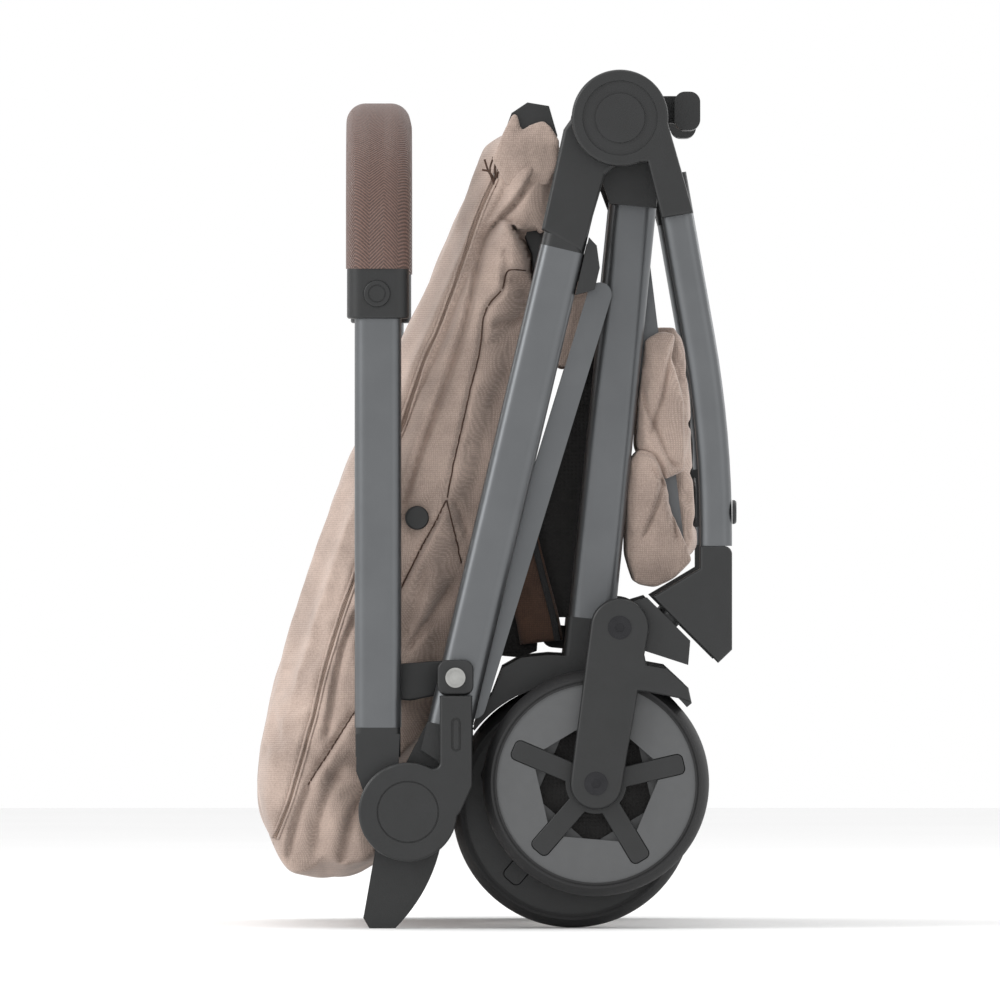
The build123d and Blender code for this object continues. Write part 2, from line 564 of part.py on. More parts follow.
BEAM_HEIGHT = 24.0
BEAM_WIDTH = 26.0
BEAM = ahead(REAR_AXLE, REAR_ANGLE + 180, REAR_FOOT_RISE - 14.0, 1.0)
PEDAL_PIN = 4.0
PEDAL_EYE = 7.0
PEDAL_REACH = 45.0
LUG_THICKNESS = 6.0
LUG_REACH = BEAM_WIDTH / 2 + PEDAL_EYE + 1.5
PEDAL_HINGE = ahead(BEAM, REAR_ANGLE - 90, LUG_REACH)

with BuildPart() as rear_crossbeam:
    with BuildSketch(side_plane(0, BEAM, REAR_ANGLE - 90)):
        RectangleRounded(BEAM_WIDTH, BEAM_HEIGHT, 5.0)
    extrude(amount=REAR_PLATE_IN, both=True)
    for lug_side in (PEDAL_REACH + SIDE_GAP, -PEDAL_REACH - SIDE_GAP - LUG_THICKNESS):
        with BuildSketch(side_plane(lug_side, BEAM, REAR_ANGLE - 90)):
            with Locations((LUG_REACH / 2 + 4, 0)):
                Rectangle(LUG_REACH - 8, 2 * PEDAL_EYE)
            with Locations((LUG_REACH, 0)):
                Circle(PEDAL_EYE)
        extrude(amount=LUG_THICKNESS)
        bore(PEDAL_HINGE, PEDAL_PIN + RUNNING, lug_side - 1, lug_side + LUG_THICKNESS + 1)
write_piece(rear_crossbeam.part, "rear_crossbeam")

PEDAL_LENGTH = 34.0
PEDAL_THICKNESS = 7.0
with BuildPart() as brake_pedal:
    with BuildSketch(side_plane(0, PEDAL_HINGE, REAR_ANGLE - 90)):
        Circle(PEDAL_EYE)
        with Locations((PEDAL_LENGTH / 2, 0)):
            SlotOverall(PEDAL_LENGTH + 2, PEDAL_THICKNESS)
    extrude(amount=PEDAL_REACH, both=True)
    with BuildSketch(side_plane(0, PEDAL_HINGE)):
        Circle(PEDAL_PIN)
    extrude(amount=PEDAL_REACH + SIDE_GAP + LUG_THICKNESS, both=True)
write_piece(brake_pedal.part, "brake_pedal")

# ---------------------------------------------------------------- push bar
BAR_DIRECTION = PUSHBAR_ANGLE - 180
TOP_FITTING_LENGTH = 88.0
END_FITTING_LENGTH = 58.0
TUBE_TOP_ASIDE = -10.4        # tube's top end, forward of the line from hub to handle hinge
TUBE_END_ASIDE = 9.3          # the same at its lower end
BAR_TOP = bar_point(PUSHBAR_LENGTH - TOP_FITTING_LENGTH, TUBE_TOP_ASIDE)
BAR_END = bar_point(END_FITTING_LENGTH, TUBE_END_ASIDE)
TUBE_ANGLE = direction_between(BAR_END, BAR_TOP)
END_FROM_HINGE = (BAR_END[0] - HINGE[0], BAR_END[1] - HINGE[1])

with BuildPart() as pushbar_top:
    rod(HUB, PUSHBAR_EYE_RADIUS, BAR_IN, BAR_OUT)
    with BuildSketch(side_plane(BAR_IN, HUB, PUSHBAR_ANGLE)):
        with BuildLine():
            Polyline((0, PUSHBAR_EYE_RADIUS - 1), (36.0, 1.5),
                     (TOP_FITTING_LENGTH - 1.5, TUBE_TOP_ASIDE + PUSHBAR_WIDTH / 2 - 1.6),
                     (TOP_FITTING_LENGTH - 8.0, TUBE_TOP_ASIDE - PUSHBAR_WIDTH / 2 - 2),
                     (16.8, -31.4), (0, -PUSHBAR_EYE_RADIUS + 1), close=True)
        make_face()
    extrude(amount=PUSHBAR_DEPTH)
    soften(pushbar_top.part, BAR_OUT, 2.5)
    tube_between(BAR_TOP, ahead(BAR_TOP, TUBE_ANGLE, 28.0), PUSHBAR_WIDTH - 0.5, BAR_IN + 0.5,
                 BAR_OUT - 0.5, TUBE_CORNER)
    bore(HUB, HUB_PIN_RADIUS + RUNNING, BAR_IN - 1, BAR_OUT + 1)
write_group(pushbar_top.part, "pushbar_top_fittings")

with BuildPart() as pushbar_tube:
    tube_between(BAR_TOP, BAR_END, PUSHBAR_WIDTH, BAR_IN + 0.5, BAR_OUT - 0.5, TUBE_CORNER)
write_group(pushbar_tube.part, "pushbar_tubes")

KNUCKLE_ARM_RIGHT = 40.0      # hinge axis forward to the front edge of the knuckle's arm
KNUCKLE_ARM_WIDTH = 20.2
KNUCKLE_ARM_RISE = 72.0       # hinge axis up to the top of the arm
END_IN = BAR_IN - 1.0
with BuildPart() as pushbar_end:
    rod(HINGE, HINGE_EYE_RADIUS + 1, END_IN, END_TONGUE_OUT)
    with BuildSketch(side_plane(END_IN, HINGE)):
        with BuildLine():
            Polyline((-4.0, HINGE_EYE_RADIUS),
                     ahead(END_FROM_HINGE, TUBE_ANGLE, 0, PUSHBAR_WIDTH / 2),
                     ahead(END_FROM_HINGE, TUBE_ANGLE, 0, -PUSHBAR_WIDTH / 2),
                     (KNUCKLE_ARM_RIGHT - 3, 20.0), (HINGE_EYE_RADIUS - 4, -8.0), close=True)
        make_face()
    extrude(amount=END_TONGUE_OUT - END_IN)
    with BuildSketch(side_plane(END_TONGUE_OUT - 1, HINGE)):
        with BuildLine():
            Polyline(ahead(END_FROM_HINGE, TUBE_ANGLE, 0, PUSHBAR_WIDTH / 2),
                     ahead(END_FROM_HINGE, TUBE_ANGLE, 0, -PUSHBAR_WIDTH / 2),
                     (KNUCKLE_ARM_RIGHT - 3, 20.0), (KNUCKLE_ARM_RIGHT - 10, 16.0),
                     ahead(END_FROM_HINGE, TUBE_ANGLE, -22.0, 3.0),
                     ahead(END_FROM_HINGE, TUBE_ANGLE, -18.0, PUSHBAR_WIDTH / 2),
                     close=True)
        make_face()
    extrude(amount=DISC_IN - END_TONGUE_OUT + 1)
    bore(HINGE, HINGE_PIN_RADIUS, END_IN - 1, END_TONGUE_OUT + 1)
write_group(pushbar_end.part, "pushbar_end_fittings")

with BuildPart() as knuckle:
    with BuildSketch(side_plane(DISC_IN, HINGE)):
        Circle(KNUCKLE_RADIUS)
        with BuildLine():
            arm_left = KNUCKLE_ARM_RIGHT - KNUCKLE_ARM_WIDTH
            Polyline((arm_left, KNUCKLE_ARM_RISE), (KNUCKLE_ARM_RIGHT, KNUCKLE_ARM_RISE),
                     (KNUCKLE_ARM_RIGHT, 16.0), (KNUCKLE_RADIUS + 2, 0.0), (8.0, -KNUCKLE_RADIUS + 1.1),
                     (0.0, 0.0), (arm_left, KNUCKLE_RADIUS - 12), close=True)
        make_face()
        inner_corner = Vector(arm_left, (KNUCKLE_RADIUS ** 2 - arm_left ** 2) ** 0.5)
        fillet(vertices().sort_by_distance(inner_corner)[0], 4.0)
    extrude(amount=KNUCKLE_THICKNESS)
    soften(knuckle.part, HALF_WIDTH, 1.8)
    with BuildSketch(side_plane(HALF_WIDTH, HINGE)):
        Circle(KNUCKLE_RECESS + 1.0)
        Circle(KNUCKLE_RECESS, mode=Mode.SUBTRACT)
        with Locations(((KNUCKLE_ARM_RIGHT + arm_left) / 2, KNUCKLE_ARM_RISE - 24.0)):
            SlotOverall(21.0, 6.2, rotation=90)
            SlotOverall(18.0, 3.2, rotation=90, mode=Mode.SUBTRACT)
    extrude(amount=-1.2, mode=Mode.SUBTRACT)
write_group(knuckle.part, "hinge_knuckles")

with BuildPart() as hinge_pin:
    rod(HINGE, HINGE_PIN_RADIUS, END_IN, DISC_IN)
write_group(hinge_pin.part, "hinge_pins")

FOOT_OUT = END_IN
FOOT_IN = FOOT_OUT - FOOT_THICKNESS
SOLE_BACK, SOLE_FRONT = -26.0, -8.0
with BuildPart() as storage_foot:
    with BuildSketch(side_plane(FOOT_IN, HINGE)):
        Circle(HINGE_EYE_RADIUS)
        with BuildLine():
            Polyline((-21.0, -13.0), (-20.7, -26.0), (SOLE_BACK - 1.8, -FOOT_DROP + 6.5),
                     (SOLE_BACK + 2, -FOOT_DROP),
                     (SOLE_FRONT, -FOOT_DROP))
            Spline((SOLE_FRONT, -FOOT_DROP), (10.0, -49.0), (22.0, -12.0))
            Line((22.0, -12.0), (-21.0, -13.0))
        make_face()
    extrude(amount=FOOT_THICKNESS)
    bore(HINGE, HINGE_PIN_RADIUS, FOOT_IN - 1, FOOT_IN + 4.0)
write_group(storage_foot.part, "storage_feet")

BRACKET = (KNUCKLE_ARM_RIGHT - 10.5, KNUCKLE_ARM_RISE + 11.2)
BRACKET_SIZE = 22.4
SCREW_RADIUS = 4.0
with BuildPart() as canopy_bracket:
    with BuildSketch(side_plane(DISC_IN, HINGE)):
        with Locations(BRACKET):
            RectangleRounded(BRACKET_SIZE, BRACKET_SIZE - 0.4, 6.0)
    extrude(amount=7.0)
    soften(canopy_bracket.part, DISC_IN + 7.0, 1.5)
    bore(offset_from(HINGE, BRACKET), SCREW_RADIUS, DISC_IN - 1, DISC_IN + 8)
write_group(canopy_bracket.part, "canopy_brackets")

SCREW_HEAD = 2.0
SCREW_SOCKET = 2.4
with BuildPart() as bracket_screw:
    screw_place = offset_from(HINGE, BRACKET)
    rod(screw_place, SCREW_RADIUS, DISC_IN, DISC_IN + 7.0)
    rod(screw_place, SCREW_RADIUS + 2.2, DISC_IN + 7.0, DISC_IN + 7.0 + SCREW_HEAD)
    with BuildSketch(side_plane(DISC_IN + 7.0 + SCREW_HEAD, screw_place)):
        Circle(SCREW_RADIUS + 0.9)
        Circle(SCREW_RADIUS - 0.1, mode=Mode.SUBTRACT)
        RegularPolygon(SCREW_SOCKET, 6)
    extrude(amount=-SCREW_HEAD * 0.6, mode=Mode.SUBTRACT)
write_group(bracket_screw.part, "bracket_screws")

CLIP_DROP = 26.0              # top of the push-bar tube down to the lower end of the clip
with BuildPart() as strap_clip:
    with BuildSketch(side_plane(BAR_IN + 4.0,
                                ahead(BAR_TOP, TUBE_ANGLE, -CLIP_DROP, -PUSHBAR_WIDTH / 2 - 0.3),
                                TUBE_ANGLE - 90)):
        with BuildLine():
            Polyline((0, 0), (11.0, 6.0), (11.0, 20.0), (6.0, 33.0), (0, 37.0), close=True)
        make_face()
    extrude(amount=14.0)
write_group(strap_clip.part, "strap_clips")

STRUT_OUT = REAR_EYE_OUT - 1.5
STRUT_IN = STRUT_OUT - 8.0
STRUT_WIDTH = 15.0
STRUT_TOP = bar_point(PUSHBAR_LENGTH - 108.0, 20.0)
STRUT_LOW = bar_point(74.0, 20.0)
with BuildPart() as back_strut:
    with BuildSketch(side_plane(STRUT_IN, STRUT_LOW, BAR_DIRECTION)):
        with Locations((hypot(STRUT_TOP[0] - STRUT_LOW[0], STRUT_TOP[1] - STRUT_LOW[1]) / 2, 0)):
            SlotOverall(hypot(STRUT_TOP[0] - STRUT_LOW[0], STRUT_TOP[1] - STRUT_LOW[1]) + STRUT_WIDTH,
                        STRUT_WIDTH)
    extrude(amount=STRUT_OUT - STRUT_IN)
    for along in (100.0, 190.0):
        rod(bar_point(along, 12.5), 4.0, STRUT_OUT, BAR_IN + 0.5)
write_group(back_strut.part, "back_struts")

BACK_BAR_RADIUS = 6.0
with BuildPart() as back_crossbar:
    with BuildSketch(side_plane(0, bar_point(82.0, 18.0))):
        Circle(BACK_BAR_RADIUS)
    extrude(amount=STRUT_IN, both=True)
write_piece(back_crossbar.part, "back_crossbar")

# ---------------------------------------------------------------- handle
HANDLE_END_RISE = 52.2        # hinge axis up to the end of the handle tube
HANDLE_END_THICK = 34.0       # hinge axis up to where the fitting narrows to its tongue
HANDLE_MIDDLE = (HANDLE_IN + HANDLE_OUT) / 2
HANDLE_FOOT = (HANDLE_X, HINGE[1] + HANDLE_END_RISE)
COLLAR_FOOT = (HANDLE_X, COLLAR_TOP - COLLAR_HEIGHT)
COLLAR_OUT = HANDLE_MIDDLE + COLLAR_DEPTH / 2

with BuildPart() as handle_end:
    tube_between((HANDLE_X, HINGE[1] + HANDLE_END_THICK), HANDLE_FOOT, HANDLE_WIDTH - 1.0, HANDLE_IN,
                 HANDLE_OUT, 4.0)
    with BuildSketch(side_plane(TONGUE_IN, HINGE)):
        Circle(HINGE_EYE_RADIUS)
        with BuildLine():
            Polyline((-HANDLE_OFFSET + HANDLE_WIDTH / 2 - 1, HANDLE_END_RISE - 4),
                     (-HANDLE_OFFSET - HANDLE_WIDTH / 2 + 1, HANDLE_END_RISE - 4),
                     (-HANDLE_OFFSET - HANDLE_WIDTH / 2 + 1, HINGE_EYE_RADIUS),
                     (-HINGE_EYE_RADIUS + 0.5, 4.0), (0, 0), (-6.0, HINGE_EYE_RADIUS - 2), close=True)
        make_face()
    extrude(amount=HINGE_TONGUE)
    bore(HINGE, HINGE_PIN_RADIUS + RUNNING, TONGUE_IN - 1, HANDLE_OUT + 1)
write_group(handle_end.part, "handle_end_fittings")

with BuildPart() as handle_tube:
    tube_between(HANDLE_FOOT, COLLAR_FOOT, HANDLE_WIDTH, HANDLE_IN, HANDLE_OUT, TUBE_CORNER)
write_group(handle_tube.part, "handle_tubes")

BUTTON_PLACE = (HANDLE_X - 0.6, COLLAR_TOP - COLLAR_HEIGHT / 2)
BUTTON_PROUD = 1.6
BUTTON_SEAT = 4.0
with BuildPart() as handle_collar:
    with BuildSketch(Plane.XY.offset(COLLAR_FOOT[1])):
        with Locations((HANDLE_X, -HANDLE_MIDDLE)):
            RectangleRounded(COLLAR_WIDTH, COLLAR_DEPTH, 9.0)
    extrude(amount=COLLAR_HEIGHT)
    fillet(handle_collar.part.edges().group_by(Axis.Z)[0], 1.5)
    bore(BUTTON_PLACE, BUTTON_RADIUS + RUNNING, COLLAR_OUT - BUTTON_SEAT - BUTTON_TRAVEL - 0.4,
         COLLAR_OUT + 1)
write_group(handle_collar.part, "handle_collars")

with BuildPart() as fold_button:
    rod(BUTTON_PLACE, BUTTON_RADIUS, COLLAR_OUT - BUTTON_SEAT, COLLAR_OUT + BUTTON_PROUD)
    soften(fold_button.part, COLLAR_OUT + BUTTON_PROUD, 1.0)
    with BuildSketch(side_plane(COLLAR_OUT + BUTTON_PROUD, BUTTON_PLACE)):
        Circle(5.6)
        Circle(4.8, mode=Mode.SUBTRACT)
    extrude(amount=-0.7, mode=Mode.SUBTRACT)
write_sides(fold_button.part, "handle_button")

BEND_HEIGHT = GRIP_TOP - GRIP_DEPTH / 2
with BuildPart() as grip:
    with BuildLine() as grip_path:
        FilletPolyline((HANDLE_X, -HANDLE_MIDDLE, COLLAR_TOP), (HANDLE_X, -HANDLE_MIDDLE, BEND_HEIGHT),
                       (HANDLE_X, HANDLE_MIDDLE, BEND_HEIGHT), (HANDLE_X, HANDLE_MIDDLE, COLLAR_TOP),
                       radius=GRIP_BEND)
    with BuildSketch(Plane(origin=grip_path.line @ 0, x_dir=(1, 0, 0), z_dir=(0, 0, 1))):
        RectangleRounded(GRIP_WIDTH, GRIP_DEPTH, 12.0)
    sweep()
write_piece(grip.part, "handle_grip")

# ---------------------------------------------------------------- seat
SEAT_ANGLE = -83.0
SEAT_ARM_LENGTH = 285.0
SEAT_ARM_WIDTH = 16.0
SEAT_PAD_REACH = SEAT_ARM_IN - 2.0
SEAT_PAD_TOP = 128.0
with BuildPart() as seat_arm:
    with BuildSketch(side_plane(SEAT_ARM_IN, HUB, SEAT_ANGLE)):
        Circle(SEAT_EYE_RADIUS)
        with Locations((SEAT_ARM_LENGTH / 2, 0)):
            SlotOverall(SEAT_ARM_LENGTH, SEAT_ARM_WIDTH)
    extrude(amount=SEAT_ARM_THICKNESS)
    bore(HUB, HUB_PIN_RADIUS + RUNNING, SEAT_ARM_IN - 1, SEAT_ARM_OUT + 1)
write_group(seat_arm.part, "seat_arms")

with BuildPart() as seat_board:
    with BuildSketch(side_plane(0, HUB, SEAT_ANGLE)):
        with Locations((SEAT_ARM_LENGTH * 0.72, 0)):
            RectangleRounded(SEAT_ARM_LENGTH * 0.4, 5.0, 2.0)
    extrude(amount=SEAT_ARM_IN, both=True)
write_piece(seat_board.part, "seat_board")

with BuildPart() as seat_pad:
    with BuildSketch(side_plane(0, HUB, SEAT_ANGLE)):
        with BuildLine():
            Polyline((SEAT_PAD_TOP, 3.2), (SEAT_PAD_TOP + 2, 18.0), (SEAT_PAD_TOP + 50, 17.0),
                     (SEAT_PAD_TOP + 92, 13.5), (SEAT_PAD_TOP + 148, 10.0), (SEAT_ARM_LENGTH, 3.2),
                     close=True)
        make_face()
    extrude(amount=SEAT_PAD_REACH, both=True)
write_piece(seat_pad.part, "seat_pad")

with BuildPart() as harness_buckle:
    with BuildSketch(side_plane(0, HUB, SEAT_ANGLE)):
        with Locations((SEAT_PAD_TOP + 112, 20.0)):
            RectangleRounded(36.0, 12.0, 4.0)
    extrude(amount=17.0, both=True)
write_piece(harness_buckle.part, "harness_buckle")

# ---------------------------------------------------------------- folded fabric
PANEL_REACH = FOOT_IN - 1.5
CANOPY_ALONG = 176.0           # canopy pivot, up the push bar from the handle hinge
CANOPY_BEHIND = 48.0           # canopy pivot, behind the push bar
CANOPY_PIVOT = bar_point(CANOPY_ALONG, -CANOPY_BEHIND)
SLAB_FRONT = PUSHBAR_WIDTH / 2 + 2.0
SLAB_BACK = 25.0
SLAB_FOOT = 60.0
SLAB_HEAD = PUSHBAR_LENGTH - 36.0
CANOPY_TOP = PUSHBAR_LENGTH - 26.0
CANOPY_BOSS_RADIUS = 22.0
with BuildPart() as backrest:
    with BuildSketch(side_plane(0, HINGE, BAR_DIRECTION)):
        with BuildLine():
            Polyline((CANOPY_ALONG, 93.0), (CANOPY_ALONG, SLAB_FRONT), (-24.0, SLAB_FRONT), (-43.0, 10.0))
            Spline((-43.0, 10.0), (-63.0, 47.0), (-32.0, 82.0), (44.0, 95.0), (141.0, 96.0),
                   (CANOPY_ALONG, 93.0))
        make_face()
        with Locations((CANOPY_ALONG, CANOPY_BEHIND)):
            Circle(CANOPY_CLEARANCE_RADIUS, mode=Mode.SUBTRACT)
        with BuildLine():
            Polyline((SLAB_FOOT, SLAB_FRONT), (SLAB_HEAD, SLAB_FRONT), (SLAB_HEAD, SLAB_BACK),
                     (SLAB_FOOT, SLAB_BACK), close=True)
        make_face()
    extrude(amount=PANEL_REACH, both=True)
write_piece(backrest.part, "backrest")

with BuildPart() as canopy:
    with BuildSketch(side_plane(0, HINGE, BAR_DIRECTION)):
        with Locations((CANOPY_ALONG, CANOPY_BEHIND)):
            Circle(CANOPY_BOSS_RADIUS)
        with BuildLine():
            Polyline((168.0, 68.0), (CANOPY_ALONG, 91.0), (191.0, 92.5),
                     (CANOPY_TOP, 66.5), (CANOPY_TOP, 34.0),
                     (230.0, 30.0), (190.0, 34.0), close=True)
        make_face()
    extrude(amount=PANEL_REACH, both=True)
write_piece(canopy.part, "canopy")

with BuildPart() as canopy_rim:
    with BuildSketch(side_plane(0, HINGE, BAR_DIRECTION)):
        with BuildLine():
            Polyline((CANOPY_TOP, 66.0), (CANOPY_TOP + 10, 65.4), (CANOPY_TOP + 19.2, 57.9),
                     (CANOPY_TOP + 21, 44.4), (CANOPY_TOP + 5, 34.0), (CANOPY_TOP, 34.0), close=True)
        make_face()
    extrude(amount=PANEL_REACH, both=True)
write_piece(canopy_rim.part, "canopy_rim")

with BuildPart() as canopy_snap:
    rod(CANOPY_PIVOT, 7.5, PANEL_REACH, PANEL_REACH + 8.0)
    soften(canopy_snap.part, PANEL_REACH + 8.0, 1.5)
write_group(canopy_snap.part, "canopy_snaps")

BASKET_REACH = REAR_PLATE_IN - 6.0
with BuildPart() as basket:
    with BuildSketch(side_plane(0)):
        with BuildLine():
            Polyline(bar_point(132.0, 20.0), bar_point(326.0, 20.0),
                     ahead(REAR_AXLE, REAR_ANGLE + 180, 302.0, 17.0),
                     ahead(REAR_AXLE, REAR_ANGLE + 180, 126.0, 17.0), close=True)
        make_face()
    extrude(amount=BASKET_REACH, both=True)
write_piece(basket.part, "basket")
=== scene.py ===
"""Dresses the folded stroller: finishes for every CAD piece, simulated fabric, trims, light and camera."""
import json
import logging
from dataclasses import dataclass, field
from enum import Enum
from math import cos, pi, radians, sin

import bmesh
import bpy
import numpy as np
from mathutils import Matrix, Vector, noise


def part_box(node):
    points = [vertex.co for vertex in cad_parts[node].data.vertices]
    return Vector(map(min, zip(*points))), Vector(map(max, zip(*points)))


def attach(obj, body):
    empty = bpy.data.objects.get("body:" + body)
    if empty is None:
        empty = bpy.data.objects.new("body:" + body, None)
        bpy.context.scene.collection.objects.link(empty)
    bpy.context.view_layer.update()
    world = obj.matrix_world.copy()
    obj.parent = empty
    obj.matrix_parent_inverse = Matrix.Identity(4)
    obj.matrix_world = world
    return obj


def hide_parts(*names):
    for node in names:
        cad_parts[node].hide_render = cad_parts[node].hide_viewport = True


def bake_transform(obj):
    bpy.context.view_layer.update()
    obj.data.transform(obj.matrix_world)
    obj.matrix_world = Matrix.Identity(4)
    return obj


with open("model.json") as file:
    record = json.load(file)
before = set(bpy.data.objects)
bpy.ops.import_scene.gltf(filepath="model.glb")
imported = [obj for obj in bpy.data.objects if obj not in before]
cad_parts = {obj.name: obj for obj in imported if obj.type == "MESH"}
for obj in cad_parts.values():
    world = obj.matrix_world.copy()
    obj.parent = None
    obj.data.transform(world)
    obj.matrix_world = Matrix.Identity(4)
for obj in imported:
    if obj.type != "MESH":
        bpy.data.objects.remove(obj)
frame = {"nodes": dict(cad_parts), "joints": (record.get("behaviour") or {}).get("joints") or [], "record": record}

LOG = logging.getLogger("stroller")
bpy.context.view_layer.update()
MM = 0.001
JOINTS = {joint["name"]: joint for joint in frame["joints"]}
HINGE = Vector(JOINTS["handle_fold"]["pos_m"])      # axis between push bar and handle
SNAP = Vector(JOINTS["canopy_open"]["pos_m"])       # pivot of the canopy on the push bar
PANEL_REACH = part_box("backrest")[1].y               # half width of the folded fabric
Point = tuple[float, float]
DEEPEN = 1.6                                        # folds are pressed this much deeper than their set sizes


class Side(Enum):
    """The two sides of the stroller; the value is the sign of Y."""
    RIGHT = -1
    LEFT = 1


# ------------------------------------------------------------------ small helpers
def linear(hex_colour: str) -> tuple[float, float, float, float]:
    """Turn an sRGB hex colour into linear RGBA.

    Args:
        hex_colour: six hex digits with a leading #.

    Returns:
        Linear red, green, blue and an alpha of 1.
    """
    channels = [int(hex_colour[i:i + 2], 16) / 255 for i in (1, 3, 5)]
    red, green, blue = (c / 12.92 if c <= 0.04045 else ((c + 0.055) / 1.055) ** 2.4 for c in channels)
    return red, green, blue, 1.0


def add_node(tree: bpy.types.NodeTree, kind: str, settings: dict | None = None,
             inputs: dict | None = None) -> bpy.types.Node:
    """Add one shader node.

    Args:
        tree: node tree that gets the node.
        kind: Blender's name of the node type.
        settings: attributes to set on the node.
        inputs: socket name or index to a value, or to an output socket to link from.

    Returns:
        The new node.
    """
    node = tree.nodes.new(kind)
    for name, value in (settings or {}).items():
        setattr(node, name, value)
    for name, value in (inputs or {}).items():
        if isinstance(value, bpy.types.NodeSocket):
            tree.links.new(value, node.inputs[name])
        else:
            node.inputs[name].default_value = value
    return node


def near_hinge(points: list[Point]) -> list[Point]:
    """Turn (forward, up) millimetres from the handle hinge into (x, z) metres."""
    return [(HINGE.x + ahead * MM, HINGE.z + rise * MM) for ahead, rise in points]


def smooth_line(points: list, count: int) -> np.ndarray:
    """Catmull-Rom curve through given points.

    Args:
        points: points to pass through, of any dimension.
        count: number of evenly spaced points to return.

    Returns:
        An array of count points.
    """
    knots = np.array(points, float)
    knots = np.vstack([2 * knots[0] - knots[1], knots, 2 * knots[-1] - knots[-2]])
    fine = []
    for i in range(1, len(knots) - 2):
        before, start, end, after = knots[i - 1:i + 3]
        for t in np.linspace(0, 1, 24, endpoint=False):
            fine.append(0.5 * (2 * start + (end - before) * t + (2 * before - 5 * start + 4 * end - after) * t ** 2
                               + (3 * start - before - 3 * end + after) * t ** 3))
    fine.append(knots[-2])
    fine = np.array(fine)
    reach = np.concatenate([[0], np.cumsum(np.linalg.norm(np.diff(fine, axis=0), axis=1))])
    steps = np.linspace(0, reach[-1], count)
    return np.stack([np.interp(steps, reach, fine[:, axis]) for axis in range(fine.shape[1])], axis=1)


def finish_piece(piece: bpy.types.Object, material: bpy.types.Material) -> bpy.types.Object:
    """Give a piece its material and smooth shading."""
    piece.data.materials.clear()
    piece.data.materials.append(material)
    for face in piece.data.polygons:
        face.use_smooth = True
    LOG.info("%s: %d faces", piece.name, len(piece.data.polygons))
    return piece


def mesh_piece(name: str, verts: list, faces: list) -> bpy.types.Object:
    """Make and link an object from vertices and faces."""
    mesh = bpy.data.meshes.new(name)
    mesh.from_pydata([tuple(v) for v in verts], [], faces)
    mesh.update()
    piece = bpy.data.objects.new(name, mesh)
    bpy.context.scene.collection.objects.link(piece)
    return piece


def strip(name: str, line: np.ndarray, out: np.ndarray, width: float, thickness: float) -> bpy.types.Object:
    """Closed rounded strip along a line, for tapes, webbing, piping and seams.

    Args:
        name: piece name.
        line: centre points in metres.
        out: outward direction at each point.
        width: full width across the line.
        thickness: full thickness along the outward direction.

    Returns:
        The strip.
    """
    ring = [(cos(a), sin(a)) for a in np.linspace(0, 2 * pi, 12, endpoint=False)]
    power = 0.45 if width > 2.5 * thickness else 1.0
    along = np.gradient(line, axis=0)
    along /= np.linalg.norm(along, axis=1)[:, None]
    out = out - (out * along).sum(1)[:, None] * along
    out /= np.linalg.norm(out, axis=1)[:, None]
    across = np.cross(along, out)
    verts, faces = [], []
    for centre, side, up in zip(line, across, out):
        for c, s in ring:
            lift = np.sign(s) * abs(s) ** power
            reach = np.sign(c) * abs(c) ** power
            verts.append(centre + side * reach * width / 2 + up * lift * thickness / 2)
    count = len(ring)
    for i in range(len(line) - 1):
        for j in range(count):
            k = (j + 1) % count
            faces.append((i * count + j, (i + 1) * count + j, (i + 1) * count + k, i * count + k))
    faces.append(tuple(range(count)))
    faces.append(tuple(reversed(range((len(line) - 1) * count, len(line) * count))))
    return mesh_piece(name, verts, faces)


def joined(name: str, pieces: list[bpy.types.Object]) -> bpy.types.Object:
    """Join several mesh objects into one and name it."""
    whole = bmesh.new()
    for piece in pieces:
        whole.from_mesh(piece.data)
    mesh = bpy.data.meshes.new(name)
    whole.to_mesh(mesh)
    whole.free()
    for piece in pieces:
        bpy.data.objects.remove(piece)
    result = bpy.data.objects.new(name, mesh)
    bpy.context.scene.collection.objects.link(result)
    return result


def read_points(piece: bpy.types.Object) -> np.ndarray:
    """All vertex places of a mesh piece."""
    places = np.zeros(len(piece.data.vertices) * 3)
    piece.data.vertices.foreach_get("co", places)
    return places.reshape(-1, 3)


def write_points(piece: bpy.types.Object, places: np.ndarray) -> None:
    """Set all vertex places of a mesh piece."""
    piece.data.vertices.foreach_set("co", places.ravel())
    piece.data.update()


